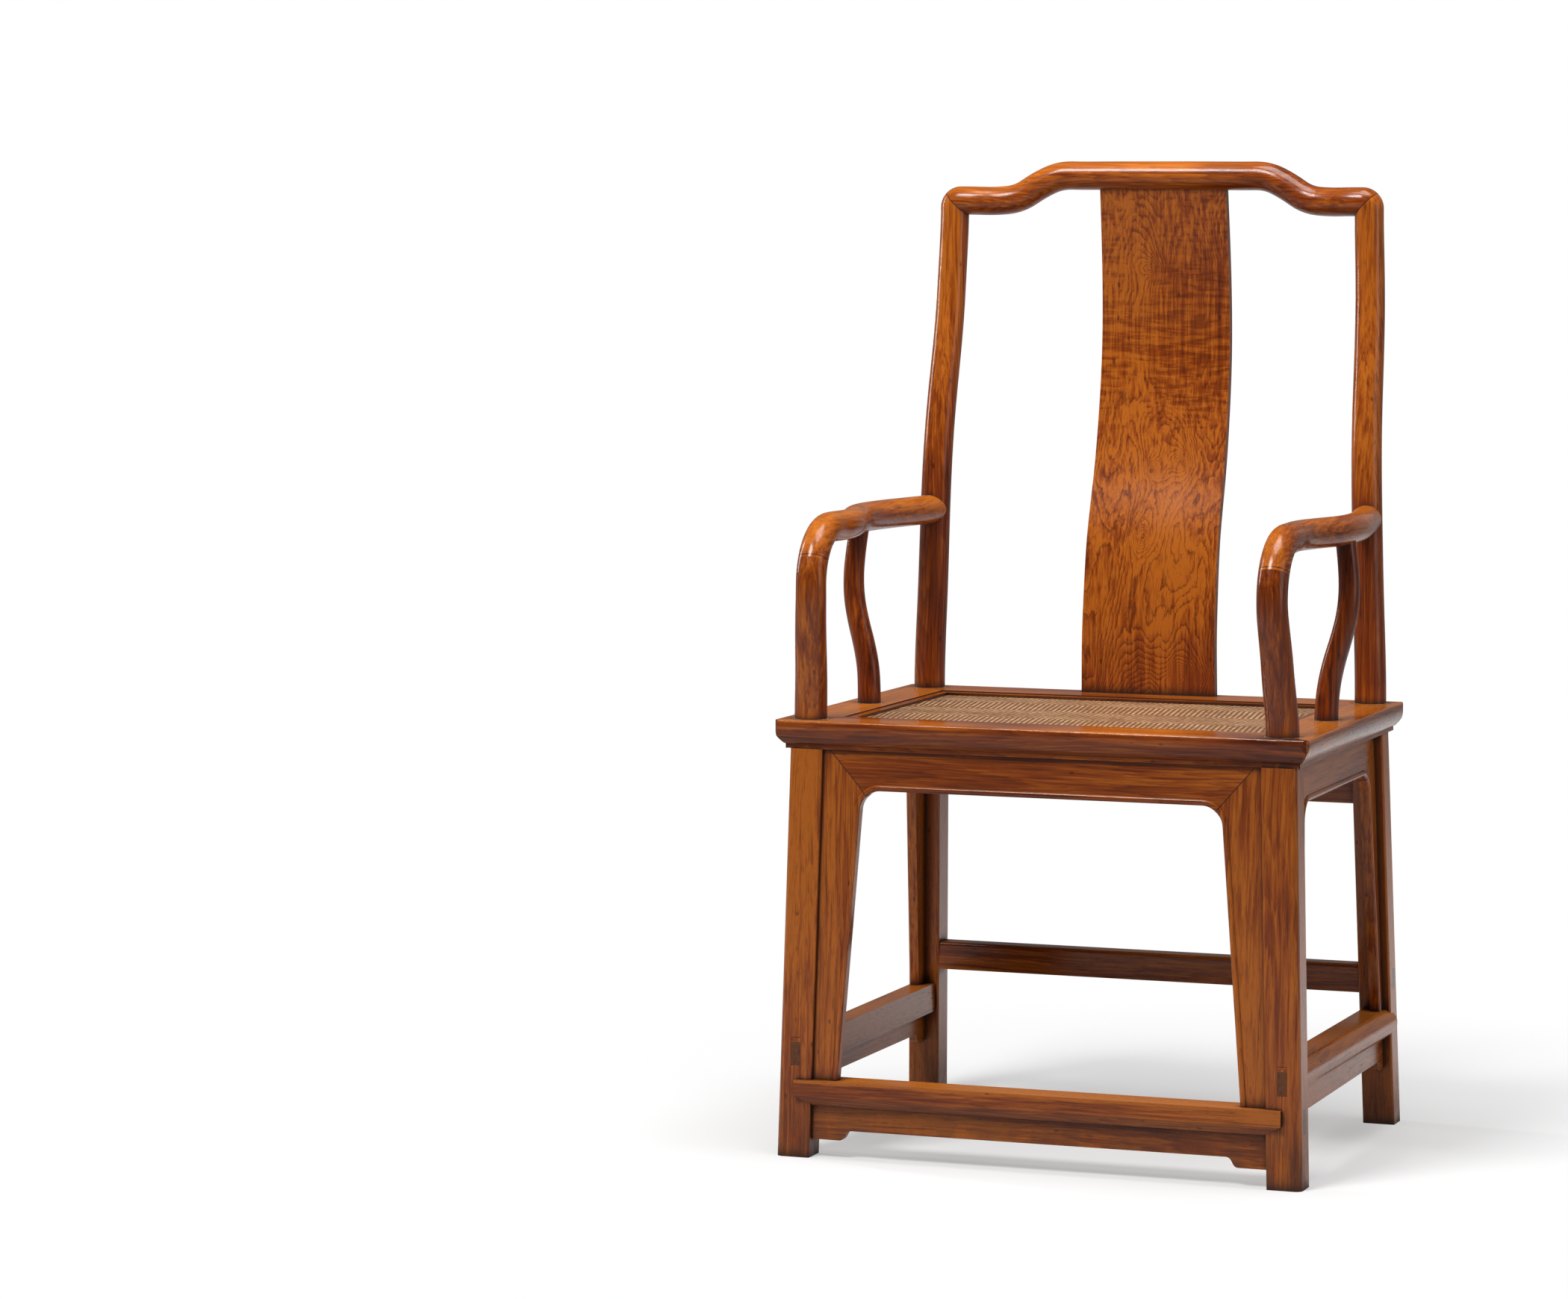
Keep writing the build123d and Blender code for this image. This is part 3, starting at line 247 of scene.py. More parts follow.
# ---- wood --------------------------------------------------------------------------------------
WOOD_INK = (0.026, 0.007, 0.002)
WOOD_DARK = (0.040, 0.007, 0.002)
WOOD_RED = (0.128, 0.021, 0.003)
WOOD_MID = (0.245, 0.046, 0.004)
WOOD_GOLD = (0.450, 0.118, 0.010)
# gold of the worn arrises, and of the upward faces, where it is partly wear and partly painted
# light
WORN_AND_LIT_GOLD = (0.640, 0.190, 0.022)
# dark of the grime on end grain and in the joints, and of the painted shade in the corners
GRIME_AND_SHADE = (0.020, 0.010, 0.007)
FOOT_DIRT = (0.075, 0.042, 0.026)
DUST = (0.420, 0.360, 0.290)
BASE_TONE = 0.03        # start of the sum that picks a colour from the ramp
STREAKS_SHARE = 0.46
FIBRE_SHARE = 0.40
PATCHES_SHARE = 0.42
DARK_STOP, RED_STOP, MID_STOP, GOLD_STOP = 0.38, 0.49, 0.61, 0.75
PORE_INK = 0.45
SPECK_INK = 0.60
EDGE_REACH = 0.0025     # width of the worn arrises
EDGE_WEAR = 0.75
CORNER_SHADE_REACH = 0.018    # width of the painted shade in the inner corners
# share of the painted shade in inner corners, gaps and under overhangs
CORNER_SHADE = 0.94
END_GRIME = 0.72
DIRTY_FEET = 0.09       # height up to which the feet are dirty
FOOT_DIRT_SHARE = 0.60
SEAM_HALF_WIDTH = 0.00035
SEAM_SHARE = 0.85
DUST_SHARE = 0.80
CLEAN_ROUGHNESS = 0.13  # of the waxed wood; the rest is added to it
PATCHES_ROUGHNESS = 0.14
PORES_ROUGHNESS = 0.20
CORNER_ROUGHNESS = 0.30
FEET_ROUGHNESS = 0.22
GRAIN_RELIEF = 0.07     # strength of the bump of pores and fibres
SPECULAR = 0.27
WAX_COAT = 0.06
WAX_ROUGHNESS = 0.12
AXIS_TURNS = {"x": (0, 0, 0), "y": (0, 0, math.pi / 2), "z": (0, math.pi / 2, 0)}
AXIS_WAYS = {"x": (1, 0, 0), "y": (0, 1, 0), "z": (0, 0, 1)}


class Grain:
    """Shared ingredients of one piece's wood: its place along the grain and its noise fields."""

    def __init__(self, tree, axis, seed):
        self.tree = tree
        self.place = tree.add("ShaderNodeTexCoord").outputs["Object"]
        offset = (seed * 1.37, seed * 0.71, seed * 0.43)
        local = tree.add("ShaderNodeMapping", {"Vector": self.place, "Rotation": AXIS_TURNS[axis],
                                               "Location": offset})
        self.local = local.outputs[0]
        self.bent = tree.wander(self.local, 3.0, 2.0, (0.0, 0.014, 0.014))
        self.patches = tree.noise(tree.scaled(self.local, (0.30, 1.0, 1.0)), 9.0, 2.0)
        self.fibre = tree.noise(tree.scaled(self.bent, (0.030, 1.0, 1.0)), 420.0, 3.0, 0.6)
        self.streaks = tree.noise(tree.scaled(self.bent, (0.022, 1.0, 1.0)), 160.0, 3.0, 0.65)
        self.pores = tree.spread(tree.noise(tree.scaled(self.bent, (0.06, 1.0, 1.0)), 1300.0, 1.0),
                                 0.62, 0.70)


STRAIGHT_BANDS = 32.0   # growth bands over the whole range of the noise
STRAIGHT_INK = 0.125
STRAIGHT_DEPTH = 0.06   # how much darker the edge of a band is, as a share of the colour ramp
SPLAT_BANDS = 30.0
SPLAT_INK = 0.40
SPLAT_DEPTH = 0.16


def contours(tree, field, count):
    """Growth bands: a wave over a height field, soft on one side and sharp on the other."""
    phase = tree.math("FRACT", tree.math("MULTIPLY", field, count))
    rise = tree.spread(phase, 0.0, 0.86)
    fall = tree.spread(phase, 0.90, 1.0, 1.0, 0.0)
    return tree.math("MULTIPLY", rise, fall)


def straight_figure(grain):
    """Long flame-shaped growth bands along the piece, the ink of their lines, and their depth."""
    tree = grain.tree
    field = tree.noise(tree.scaled(grain.bent, (0.09, 1.0, 1.0)), 13.0, 1.0, 0.4)
    fray = tree.noise(tree.scaled(grain.bent, (0.05, 1.0, 1.0)), 190.0, 3.0, 0.65)
    field = tree.math("MULTIPLY_ADD", fray, 0.060, field)
    bands = contours(tree, field, STRAIGHT_BANDS)
    ink = tree.math("MULTIPLY", tree.spread(bands, 0.90, 1.0), STRAIGHT_INK)
    return bands, ink, STRAIGHT_DEPTH


# Eyes of the splat's figure: across, height, half width, half height, rise
SPLAT_EYES = ((0.004, 0.815, 0.030, 0.050, 1.1), (0.022, 0.780, 0.010, 0.012, 0.6),
              (-0.006, 0.768, 0.008, 0.010, 0.6), (-0.012, 0.690, 0.009, 0.012, 0.5),
              (-0.020, 1.000, 0.010, 0.010, 0.5), (0.045, 0.520, 0.016, 0.014, 0.8),
              (0.000, 0.480, 0.050, 0.075, 1.0))
CURL_LOW = 0.79    # heights between which the curl comes in,
CURL_HIGH = 0.88
CURL_END = 1.06    # and height at which it has weakened again


def burl_figure(grain):
    """Figure of the splat: nested loops round eyes below, ripples across the grain above."""
    tree = grain.tree
    loose = tree.wander(grain.place, 9.0, 4.0, (0.030, 0.0, 0.045))
    across, _, height = tree.split(loose)
    field = tree.noise(tree.scaled(loose, (1.0, 1.0, 0.28)), 11.0, 2.0, 0.5)
    for x, z, half_width, half_height, rise in SPLAT_EYES:
        side = tree.math("DIVIDE", tree.math("SUBTRACT", across, x), half_width)
        up = tree.math("DIVIDE", tree.math("SUBTRACT", height, z), half_height)
        reach = tree.math("ADD", tree.math("MULTIPLY", side, side), tree.math("MULTIPLY", up, up))
        bump = tree.math("DIVIDE", 1.0, tree.math("ADD", 1.0, reach))
        field = tree.math("MULTIPLY_ADD", bump, rise * 0.45, field)
    fray = tree.noise(tree.scaled(loose, (1.0, 1.0, 0.25)), 170.0, 4.0, 0.65)
    field = tree.math("MULTIPLY_ADD", fray, 0.045, field)
    loops = contours(tree, field, SPLAT_BANDS)
    wave_place = tree.wander(grain.place, 14.0, 2.0, (0.0, 0.0, 0.012))
    ripple = tree.noise(tree.scaled(wave_place, (0.15, 1.0, 1.0)), 190.0, 3.0, 0.6)
    ripple = tree.spread(ripple, 0.34, 0.68)
    clouds = tree.noise(grain.place, 16.0, 2.0)
    curl = tree.math("MULTIPLY", tree.spread(height, CURL_LOW, CURL_HIGH),
                     tree.spread(height, CURL_END, CURL_HIGH, 0.3, 1.0))
    curl = tree.math("MULTIPLY", curl, tree.spread(clouds, 0.30, 0.52))
    keep = tree.math("SUBTRACT", 1.0, curl)
    loops = tree.math("MULTIPLY", loops, tree.math("MULTIPLY", keep, 0.55))
    bands = tree.math("MULTIPLY_ADD", ripple, curl, loops)
    ink = tree.math("MULTIPLY", tree.spread(bands, 0.50, 0.55),
                    tree.math("MULTIPLY", keep, SPLAT_INK))
    return bands, ink, SPLAT_DEPTH


def seam_lines(grain, planes):
    """1 on the thin lines where planes cut the piece, the same on the left and the right."""
    tree = grain.tree
    x, y, z = tree.split(grain.place)
    aside = tree.math("ABSOLUTE", x)
    mirrored = tree.add("ShaderNodeCombineXYZ", {0: aside, 1: y, 2: z}).outputs[0]
    found = 0.0
    for origin, normal in planes:
        away = tree.measure("DOT_PRODUCT", tree.vector("SUBTRACT", mirrored, origin), normal)
        line = tree.spread(tree.math("ABSOLUTE", away), SEAM_HALF_WIDTH, SEAM_HALF_WIDTH * 2.2,
                           1.0, 0.0)
        found = tree.math("MAXIMUM", line, found)
    return found


def base_dust(grain, rings):
    """Thin broken line of wax and dust on the seat round the foot of each post."""
    tree = grain.tree
    x, y, z = tree.split(grain.place)
    found = 0.0
    for centre, radius in rings:
        spot = tree.add("ShaderNodeCombineXYZ", {0: tree.math("ABSOLUTE", x), 1: y}).outputs[0]
        away = tree.measure("DISTANCE", spot, (*centre, 0))
        line = tree.spread(away, radius + 0.0010, radius + 0.0021, 1.0, 0.0)
        found = tree.math("MAXIMUM", line, found)
    level = tree.spread(z, SEAT_TOP - 0.0015, SEAT_TOP - 0.0005)
    broken = tree.spread(tree.noise(grain.place, 240.0, 2.0), 0.38, 0.52)
    return tree.math("MULTIPLY", found, tree.math("MULTIPLY", level, broken))


def wood(name, axis, seed, figure=straight_figure, seams=(), rings=(), end_grain=False, tone=0.0,
         shades=(), wear=0.32):
    """Waxed rosewood: figure, streaks, fibres and pores, worn arrises, tops lightened partly by
    wear and partly as painted light, painted shade in the corners.

    Each shade is a height, the change of tone above it and half the height of the change.
    """
    material = bpy.data.materials.new(name)
    tree = Tree(material)
    grain = Grain(tree, axis, seed)
    bands, ink, depth = figure(grain)
    amount = tree.math("MULTIPLY_ADD", bands, -depth, BASE_TONE + depth / 2 + tone)
    amount = tree.math("MULTIPLY_ADD", grain.streaks, STREAKS_SHARE, amount)
    amount = tree.math("MULTIPLY_ADD", grain.fibre, FIBRE_SHARE, amount)
    amount = tree.math("MULTIPLY_ADD", grain.patches, PATCHES_SHARE, amount)
    _, _, height = tree.split(grain.place)
    for level, change, half in shades:
        step = tree.spread(height, level - half, level + half, 0.0, change)
        amount = tree.math("ADD", amount, step)
    colour = tree.ramp(amount, [(DARK_STOP, WOOD_DARK), (RED_STOP, WOOD_RED), (MID_STOP, WOOD_MID),
                                (GOLD_STOP, WOOD_GOLD)])
    colour = tree.mix(ink, colour, WOOD_DARK)
    colour = tree.mix(tree.math("MULTIPLY", grain.pores, PORE_INK), colour, WOOD_INK)
    speck_place = tree.scaled(grain.bent, (0.5, 1.0, 1.0))
    specks = tree.add("ShaderNodeTexVoronoi", {"Vector": speck_place, "Scale": 46.0})
    specks = tree.spread(specks.outputs["Distance"], 0.05, 0.10, SPECK_INK, 0.0)
    colour = tree.mix(specks, colour, WOOD_INK)

    geometry = tree.add("ShaderNodeNewGeometry")
    # Upward faces turn gold: partly wear, partly painted light standing in for the lamps above
    # lighting the tops
    _, _, upward = tree.split(geometry.outputs["Normal"])
    worn_and_lit_tops = tree.math("MULTIPLY", tree.spread(upward, 0.15, 0.80),
                       tree.spread(grain.patches, 0.3, 0.6))
    colour = tree.mix(tree.math("MULTIPLY", worn_and_lit_tops, wear), colour, WORN_AND_LIT_GOLD)
    edge = tree.add("ShaderNodeAmbientOcclusion", {"Distance": EDGE_REACH}, samples=8, inside=True)
    worn = tree.spread(edge.outputs["AO"], 0.60, 0.25)
    worn = tree.math("MULTIPLY", worn, tree.spread(tree.noise(grain.local, 70.0, 3.0), 0.35, 0.6))
    colour = tree.mix(tree.math("MULTIPLY", worn, EDGE_WEAR), colour, WORN_AND_LIT_GOLD)

    scuffs = tree.noise(tree.scaled(grain.place, (1.0, 1.0, 0.5)), 45.0, 4.0, 0.6)
    low = tree.math("MULTIPLY", tree.spread(height, DIRTY_FEET, 0.0),
                    tree.spread(scuffs, 0.25, 0.60))
    colour = tree.mix(tree.math("MULTIPLY", low, FOOT_DIRT_SHARE), colour, FOOT_DIRT)
    # Painted shade: the colour darkens where ambient occlusion finds inner corners, gaps between
    # parts and undersides
    corner = tree.add("ShaderNodeAmbientOcclusion", {"Distance": CORNER_SHADE_REACH}, samples=8)
    corner = tree.spread(corner.outputs["AO"], 0.94, 0.42)
    if end_grain:
        facing = tree.measure("DOT_PRODUCT", geometry.outputs["Normal"], AXIS_WAYS[axis])
        ends = tree.spread(tree.math("ABSOLUTE", facing), 0.90, 0.97)
        colour = tree.mix(tree.math("MULTIPLY", ends, END_GRIME), colour, GRIME_AND_SHADE)
    if seams:
        lines = tree.math("MULTIPLY", seam_lines(grain, seams), SEAM_SHARE)
        colour = tree.mix(lines, colour, GRIME_AND_SHADE)
    colour = tree.mix(tree.math("MULTIPLY", corner, CORNER_SHADE), colour, GRIME_AND_SHADE)
    if rings:
        colour = tree.mix(tree.math("MULTIPLY", base_dust(grain, rings), DUST_SHARE), colour, DUST)

    rough = tree.math("MULTIPLY_ADD", grain.patches, PATCHES_ROUGHNESS, CLEAN_ROUGHNESS)
    rough = tree.math("MULTIPLY_ADD", grain.pores, PORES_ROUGHNESS, rough)
    rough = tree.math("MULTIPLY_ADD", corner, CORNER_ROUGHNESS, rough)
    rough = tree.math("MULTIPLY_ADD", low, FEET_ROUGHNESS, rough)
    relief = tree.math("MULTIPLY_ADD", grain.pores, -0.6, tree.math("MULTIPLY", grain.fibre, 0.3))
    bump = tree.add("ShaderNodeBump", {"Strength": GRAIN_RELIEF, "Distance": 0.0006,
                                       "Height": relief})
    tree.surface(Base_Color=colour, Roughness=rough, Normal=bump.outputs[0], IOR=1.5,
                 Specular_IOR_Level=SPECULAR, Coat_Weight=WAX_COAT, Coat_Roughness=WAX_ROUGHNESS)
    return material


# ---- cane and palm fibre -----------------------------------------------------------------------
CANE_DARK = (0.26, 0.125, 0.052)
CANE_MID = (0.52, 0.275, 0.125)
CANE_PALE = (0.78, 0.48, 0.24)
CANE_UNDER_SHADE = (0.14, 0.056, 0.022)   # painted shade on the strands that pass under
CANE_GAP_SHADE = (0.085, 0.036, 0.016)    # painted shade in the gaps between the strands
PALM_DARK = (0.10, 0.055, 0.028)
PALM_PALE = (0.36, 0.24, 0.14)
STRAND = 0.0016
ZIGZAG_STEP = 0.010       # depth over which the twill's diagonal moves on by one strand
ZIGZAG_STRANDS = 8.0      # strands that it moves one way before it turns back


def cane(name):
    """Twill-woven cane matting in herringbone rows."""
    material = bpy.data.materials.new(name)
    tree = Tree(material)
    place = tree.add("ShaderNodeTexCoord").outputs["Object"]
    x, y, _ = tree.split(tree.wander(place, 60.0, 1.0, (0.0006, 0.0006, 0.0)))
    column = tree.math("DIVIDE", x, STRAND)
    row = tree.math("DIVIDE", y, STRAND)
    zigzag = tree.math("PINGPONG", tree.math("DIVIDE", y, ZIGZAG_STEP), ZIGZAG_STRANDS)
    diagonal = tree.math("FRACT", tree.math("MULTIPLY", tree.math("ADD", zigzag, column), 0.25))
    over = tree.math("GREATER_THAN", diagonal, 0.5)
    along_x = tree.math("ABSOLUTE", tree.math("SUBTRACT", tree.math("FRACT", row), 0.5))
    along_y = tree.math("ABSOLUTE", tree.math("SUBTRACT", tree.math("FRACT", column), 0.5))
    gap = tree.add("ShaderNodeMix", {0: over, 2: along_x, 3: along_y}).outputs[0]
    crown = tree.math("SUBTRACT", 1.0, tree.math("POWER", tree.math("MULTIPLY", gap, 2.0), 3.0))
    tint = tree.noise(tree.scaled(place, (1.0, 0.25, 1.0)), 260.0, 3.0, 0.6)
    broad = tree.noise(tree.scaled(place, (0.4, 1.0, 1.0)), 30.0, 3.0)
    amount = tree.math("MULTIPLY_ADD", tint, 0.65, tree.math("MULTIPLY", broad, 0.35))
    colour = tree.ramp(amount, [(0.34, CANE_DARK), (0.5, CANE_MID), (0.66, CANE_PALE)])
    # Painted shade: the strands that pass under and the gaps between strands are darkened
    colour = tree.mix(tree.math("MULTIPLY_ADD", over, 0.95, 0.05), CANE_UNDER_SHADE, colour)
    colour = tree.mix(tree.math("MULTIPLY_ADD", crown, 0.6, 0.4), CANE_GAP_SHADE, colour)
    bump = tree.add("ShaderNodeBump", {"Strength": 0.7, "Distance": 0.0005, "Height": crown})
    tree.surface(Base_Color=colour, Roughness=0.5, Normal=bump.outputs[0])
    return material


def palm_fibre(name):
    """Coarse brown cord of palm fibre."""
    material = bpy.data.materials.new(name)
    tree = Tree(material)
    place = tree.add("ShaderNodeTexCoord").outputs["Object"]
    hairs = tree.noise(place, 900.0, 3.0, 0.7)
    broad = tree.noise(place, 40.0, 2.0)
    amount = tree.math("MULTIPLY_ADD", hairs, 0.7, tree.math("MULTIPLY", broad, 0.3))
    colour = tree.ramp(amount, [(0.35, PALM_DARK), (0.65, PALM_PALE)])
    bump = tree.add("ShaderNodeBump", {"Strength": 0.8, "Distance": 0.0006, "Height": hairs})
    tree.surface(Base_Color=colour, Roughness=0.8, Normal=bump.outputs[0])
    return material


def new_piece(name, vertices, faces, material):
    """Mesh object with smooth faces and one material."""
    mesh = bpy.data.meshes.new(name)
    mesh.from_pydata(vertices, [], faces)
    mesh.polygons.foreach_set("use_smooth", [True] * len(mesh.polygons))
    mesh.materials.append(material)
    piece = bpy.data.objects.new(name, mesh)
    bpy.context.scene.collection.objects.link(piece)
    return piece


MAT_STEP = 0.0032       # largest step of the mesh
MAT_THICKNESS = 0.0016
MAT_SAG = 0.0006
MAT_WAVE = 0.00012      # half the height of the soft ribs
MAT_MARGIN = 0.0001     # kept clear all round, inside the rim of the CAD panel


def make_mat(material):
    """Woven mat: a thin sheet with a slight sag and the soft ribs of its herringbone twill."""
    mat_low, mat_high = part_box("seat_cane")
    low = np.array(mat_low[:2]) + MAT_MARGIN
    high = np.array(mat_high[:2]) - MAT_MARGIN
    counts = np.ceil((high - low) / MAT_STEP).astype(int) + 1
    xs = np.linspace(low[0], high[0], counts[0])
    ys = np.linspace(low[1], high[1], counts[1])
    x, y = np.meshgrid(xs, ys, indexing="ij")
    across = 1 - (2 * (x - low[0]) / (high[0] - low[0]) - 1) ** 2
    along = 1 - (2 * (y - low[1]) / (high[1] - low[1]) - 1) ** 2
    ribs = np.cos(y / (ZIGZAG_STRANDS * ZIGZAG_STEP) * math.pi)
    top = mat_high[2] - MAT_WAVE * 2 - MAT_SAG * across * along + MAT_WAVE * ribs * across
    layers = [np.stack([x, y, z], axis=-1).reshape(-1, 3) for z in (top, top - MAT_THICKNESS)]
    total = counts[0] * counts[1]
    index = np.arange(total).reshape(counts)
    quads = np.stack([index[:-1, :-1], index[1:, :-1], index[1:, 1:], index[:-1, 1:]],
                     axis=-1).reshape(-1, 4)
    faces = [tuple(quad) for quad in quads.tolist()]
    faces += [tuple(reversed(quad)) for quad in (quads + total).tolist()]
    rim = [*index[:, 0], *index[-1, 1:], *index[-2::-1, -1], *index[0, -2:0:-1]]
    for first, second in zip(rim, rim[1:] + rim[:1]):
        faces.append((int(second), int(first), int(first + total), int(second + total)))
    mat = new_piece("cane_mat", np.concatenate(layers).tolist(), faces, material)
    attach(mat, "root")
    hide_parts("seat_cane")


CORD_RADIUS = 0.0009
CORD_SPACING = 0.012
CORD_SIDES = 6


def cord_mesh(points):
    """Rings of vertices round a wavy line of points, joined into a closed tube."""
    sides = CORD_SIDES
    points = np.array(points)
    ahead = np.gradient(points, axis=0)
    ahead /= np.linalg.norm(ahead, axis=1, keepdims=True)
    side = np.cross(ahead, (0, 0, 1))
    up = np.cross(side, ahead)
    angles = np.arange(sides) * math.tau / sides
    rings = (points[:, None] + CORD_RADIUS * (np.cos(angles)[None, :, None] * side[:, None]
                                              + np.sin(angles)[None, :, None] * up[:, None]))
    faces = []
    for ring in range(len(points) - 1):
        for corner in range(sides):
            follow = (corner + 1) % sides
            faces.append((ring * sides + corner, ring * sides + follow,
                          (ring + 1) * sides + follow, (ring + 1) * sides + corner))
    last = (len(points) - 1) * sides
    faces.append(tuple(range(sides))[::-1])
    faces.append(tuple(range(last, last + sides)))
    return rings.reshape(-1, 3).tolist(), faces


def make_webbing(material):
    """Lattice of palm-fibre cords under the mat, woven over and under each other."""
    low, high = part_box("seat_webbing")
    middle = (low[2] + high[2]) / 2
    lift = (high[2] - low[2]) / 2 - CORD_RADIUS
    vertices, faces = [], []
    for way in (0, 1):
        other = 1 - way
        count = int((high[other] - low[other]) / CORD_SPACING)
        crossings = int((high[way] - low[way]) / CORD_SPACING)
        span = high[other] - low[other] - 2 * CORD_RADIUS
        for number in range(count + 1):
            place = low[other] + CORD_RADIUS + number * span / count
            points = []
            for crossing in range(crossings * 2 + 1):
                point = [0.0, 0.0, 0.0]
                point[way] = low[way] + (high[way] - low[way]) * crossing / (crossings * 2)
                point[other] = place
                point[2] = middle + lift * math.cos((crossing / 2 + number + way) * math.pi)
                points.append(point)
            ring_vertices, ring_faces = cord_mesh(points)
            start = len(vertices)
            vertices += ring_vertices
            faces += [tuple(corner + start for corner in face) for face in ring_faces]
    webbing = new_piece("palm_webbing", vertices, faces, material)
    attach(webbing, "root")
    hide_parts("seat_webbing")


make_webbing(palm_fibre("palm_fibre"))
make_mat(cane("cane"))


# ---- wood of every CAD node --------------------------------------------------------------------
def set_wood(node, axis, seed, **options):
    """Give every slot of a CAD node its own wood."""
    material = wood("wood_" + node, axis, seed, **options)
    for slot in NODES[node].material_slots:
        slot.material = material


def both(stem, axis, seed, **options):
    """Give a left and a right node their own wood, each with its own seed."""
    for number, side in enumerate(("left", "right")):
        set_wood(f"{stem}_{side}", axis, seed + number, **options)


both("front_leg", "z", 1, seams=[PIPE_JOINT], tone=0.02, shades=[(SEAT_TOP, -0.09, 0.03)])
# Painted light by height: the stiles are lighter above the arm, where the lamps above light them
# more; between seat and arm they are darker
both("rear_leg", "z", 3, seams=[CREST_MITRE], tone=0.08,
     shades=[(SEAT_TOP, -0.16, 0.03), (0.77, 0.13, 0.05)])
both("arm", "y", 5, seams=[PIPE_JOINT], tone=-0.01)
both("arm_strut", "z", 7, tone=-0.17)
set_wood("crest_rail", "x", 9, seams=[CREST_MITRE], tone=-0.05)
set_wood("seat_rail_front", "x", 10, seams=SEAT_MITRES, rings=BASE_RINGS, end_grain=True,
         tone=-0.08, wear=0.75)
set_wood("seat_rail_rear", "x", 11, seams=SEAT_MITRES, rings=BASE_RINGS, end_grain=True)
both("seat_end", "y", 12, seams=SEAT_MITRES, rings=BASE_RINGS, tone=-0.06, wear=0.6)
set_wood("cane_strip_front", "x", 14)
set_wood("cane_strip_rear", "x", 15)
both("cane_strip", "y", 16)
both("seat_brace", "y", 18)
set_wood("front_apron_top", "x", 20, seams=[FRONT_APRON_MITRE], tone=-0.09)
both("front_apron", "z", 21, seams=[FRONT_APRON_MITRE])
both("side_apron_top", "y", 23, seams=SIDE_APRON_MITRES, tone=0.06)
both("side_apron_front", "z", 25, seams=SIDE_APRON_MITRES, tone=0.04)
both("side_apron_rear", "z", 27, seams=SIDE_APRON_MITRES, tone=0.04)
set_wood("rear_apron", "x", 29)
set_wood("footrest", "x", 30, end_grain=True, tone=-0.04, wear=2.4,
         shades=[(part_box("footrest")[1][2] - 0.003, 0.25, 0.002)])
set_wood("footrest_apron", "x", 31)
both("side_stretcher", "y", 32, end_grain=True, tone=0.05, wear=0.6)
both("side_stretcher_apron", "y", 34)
set_wood("rear_stretcher", "x", 36, end_grain=True)
set_wood("tenon_wedges", "y", 37)
set_wood("splat", "z", 38, figure=burl_figure, tone=-0.12,
         shades=[(0.58, 0.11, 0.07), (0.95, -0.05, 0.10)])


# ---- floor, world and lamps --------------------------------------------------------------------
def seen_white(tree):
    """1 for the rays that show the background: camera, glossy and transmission rays."""
    path = tree.add("ShaderNodeLightPath")
    seen = tree.math("MAXIMUM", path.outputs["Is Camera Ray"], path.outputs["Is Glossy Ray"])
    return tree.math("MAXIMUM", seen, path.outputs["Is Transmission Ray"])


FLOOR_HALF = 60.0
FLOOR_BOUNCE = (0.45, 0.45, 0.45)   # colour of the floor to the light that it throws back
FLOOR_SEEN = (0.88, 0.88, 0.88)     # and to the camera
MIRRORED_NEAR = 1.00                # strength of the white in the polish, close to the chair
MIRRORED_FAR = 0.28                 # and far from it, on the floor and in the bright surroundings
MIRROR_FADE = (0.8, 5.0)            # distances from the chair's middle between which it fades
WHITE_SHARE = 0.40                  # share of plain white under the chair, to keep its shadow
WHITE_FADE = (0.4, 1.1)             # distances between which the floor turns to plain white


def make_floor():
    """Pale floor that keeps the shadow near the chair and turns pure white away from it."""
    mesh = bpy.data.meshes.new("floor")
    half = FLOOR_HALF
    mesh.from_pydata([(-half, -half, 0), (half, -half, 0), (half, half, 0), (-half, half, 0)],
                     [], [(0, 1, 2, 3)])
    floor = bpy.data.objects.new("floor", mesh)
    bpy.context.scene.collection.objects.link(floor)
    material = bpy.data.materials.new("floor")
    tree = Tree(material)
    camera_ray = tree.add("ShaderNodeLightPath").outputs["Is Camera Ray"]
    paint = tree.mix(camera_ray, FLOOR_BOUNCE, FLOOR_SEEN)
    matte = tree.add("ShaderNodeBsdfDiffuse", {"Color": paint})
    away = tree.measure("LENGTH", tree.add("ShaderNodeTexCoord").outputs["Object"])
    mirrored = tree.spread(away, *MIRROR_FADE, MIRRORED_NEAR, MIRRORED_FAR)
    strength = tree.math("MAXIMUM", mirrored, camera_ray)
    glow = tree.add("ShaderNodeEmission", {"Color": (1, 1, 1, 1), "Strength": strength})
    white = tree.spread(away, *WHITE_FADE, WHITE_SHARE, 1.0)
    share = tree.math("MULTIPLY", seen_white(tree), white)
    blend = tree.add("ShaderNodeMixShader", {0: share, 1: matte.outputs[0], 2: glow.outputs[0]})
    tree.add("ShaderNodeOutputMaterial", {"Surface": blend.outputs[0]})
    mesh.materials.append(material)


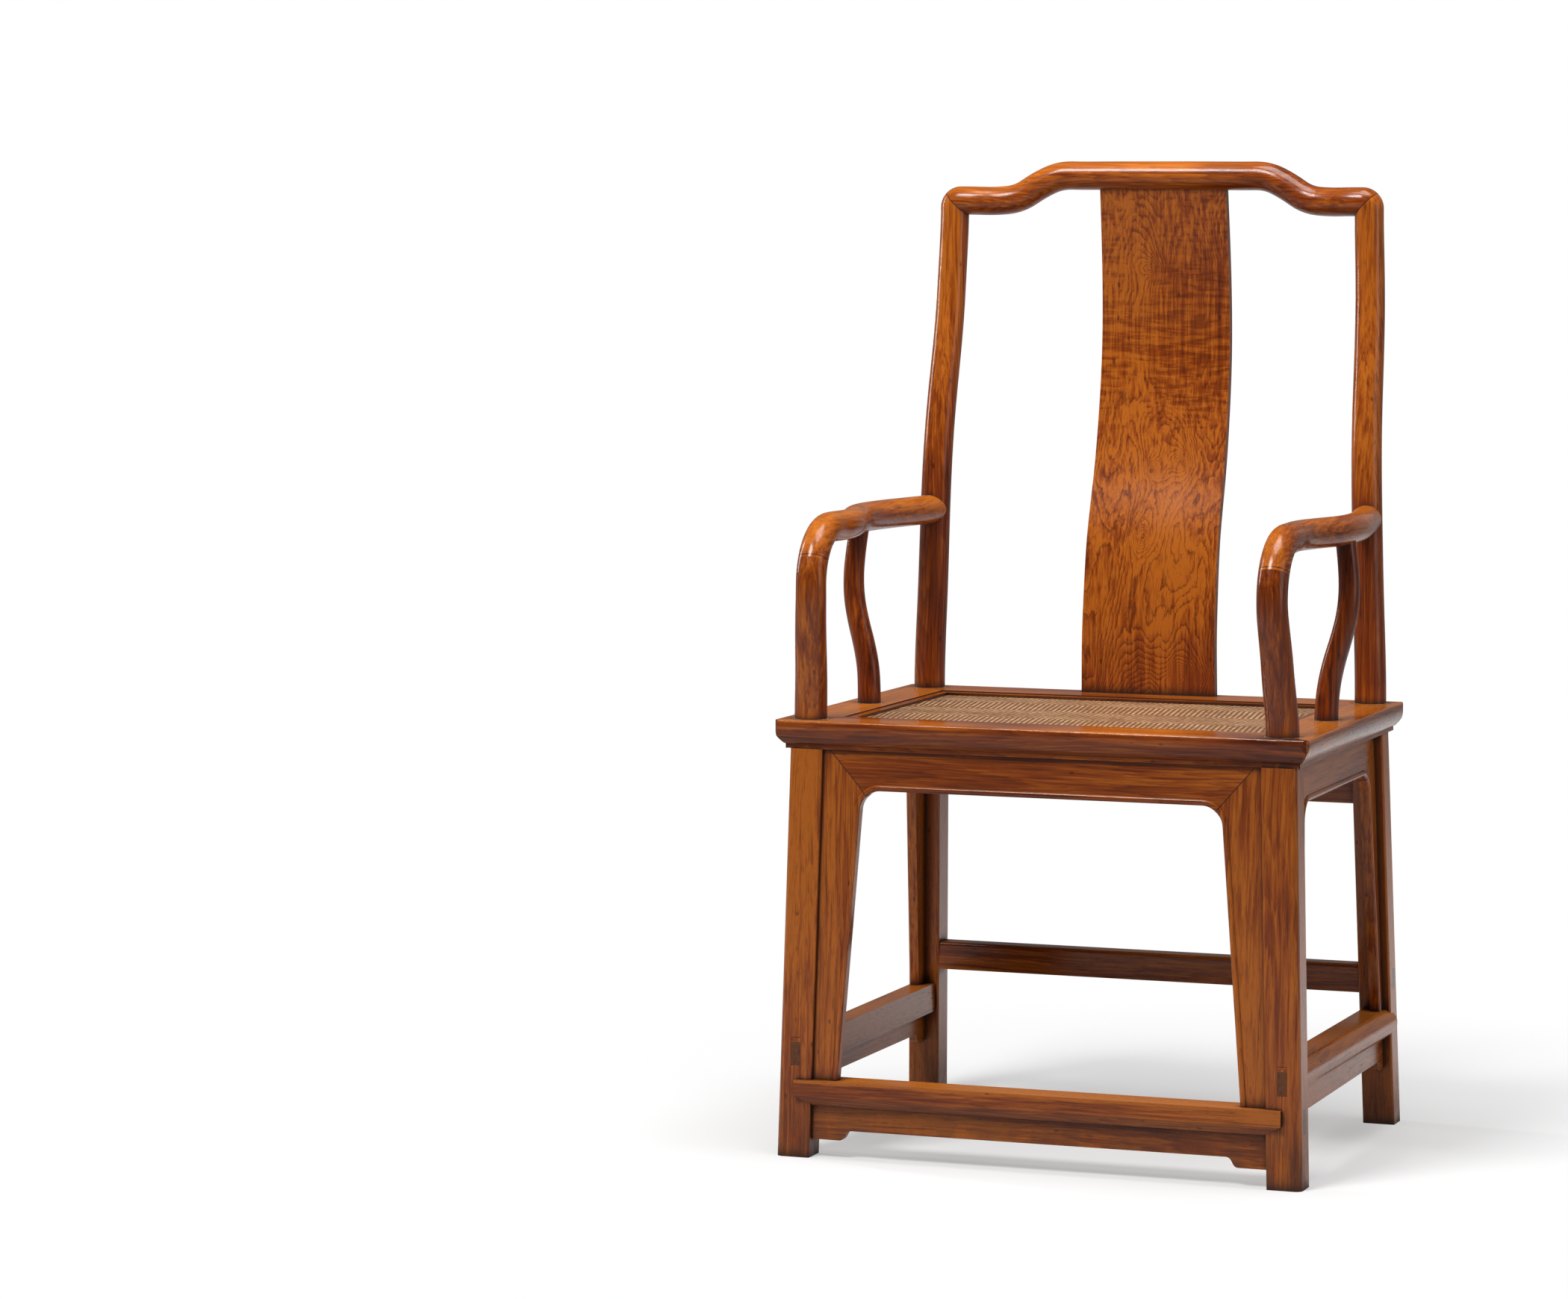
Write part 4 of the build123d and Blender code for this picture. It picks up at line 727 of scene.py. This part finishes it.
AMBIENT = 0.10                      # strength of the world as a light
DARK_STUDIO = 0.12                  # strength of its dark side in the polish of the wood
BRIGHT_WAY = (0.68, 0.73, 0.0)      # side on which the surroundings are brighter
BRIGHT_FADE = (0.30, 0.90)          # how far towards that side the brightening begins and ends


def make_world():
    """White surroundings, dimmer on the side in front of the chair, where the studio is dark."""
    world = bpy.data.worlds.new("world")
    bpy.context.scene.world = world
    tree = Tree(world)
    path = tree.add("ShaderNodeLightPath")
    way = tree.add("ShaderNodeTexCoord").outputs["Generated"]
    bright = tree.measure("DOT_PRODUCT", way, BRIGHT_WAY)
    studio = tree.spread(bright, *BRIGHT_FADE, DARK_STUDIO, MIRRORED_FAR)
    seen = tree.math("MAXIMUM", path.outputs["Is Glossy Ray"], path.outputs["Is Transmission Ray"])
    strength = tree.math("MULTIPLY_ADD", tree.math("SUBTRACT", studio, AMBIENT), seen, AMBIENT)
    strength = tree.math("MAXIMUM", strength, path.outputs["Is Camera Ray"])
    background = tree.add("ShaderNodeBackground", {"Color": (1, 1, 1, 1), "Strength": strength})
    tree.add("ShaderNodeOutputWorld", {"Surface": background.outputs[0]})


def make_lamp(name, place, target, width, height, power):
    """White rectangular soft lamp that faces a point."""
    data = bpy.data.lights.new(name, "AREA")
    data.shape = "RECTANGLE"
    data.size, data.size_y = width, height
    data.energy = power
    lamp = bpy.data.objects.new(name, data)
    lamp.location = place
    lamp.rotation_mode = "QUATERNION"
    direction = Vector(target) - Vector(place)
    lamp.rotation_quaternion = direction.to_track_quat("-Z", "Y")
    bpy.context.scene.collection.objects.link(lamp)


make_floor()
make_world()
MIDDLE = (0, 0, 0.55)
make_lamp("lamp_key", (-0.9, -2.4, 3.8), MIDDLE, 1.2, 1.2, 130)
make_lamp("lamp_top", (0.3, -0.2, 3.0), (0, 0, 0.4), 1.3, 1.3, 50)
make_lamp("lamp_rim", (-3.4, 0.6, 1.7), MIDDLE, 0.16, 1.6, 30)
make_lamp("lamp_side", (3.4, -0.4, 1.5), MIDDLE, 1.6, 2.4, 18)

bpy.context.scene.view_settings.view_transform = "Standard"
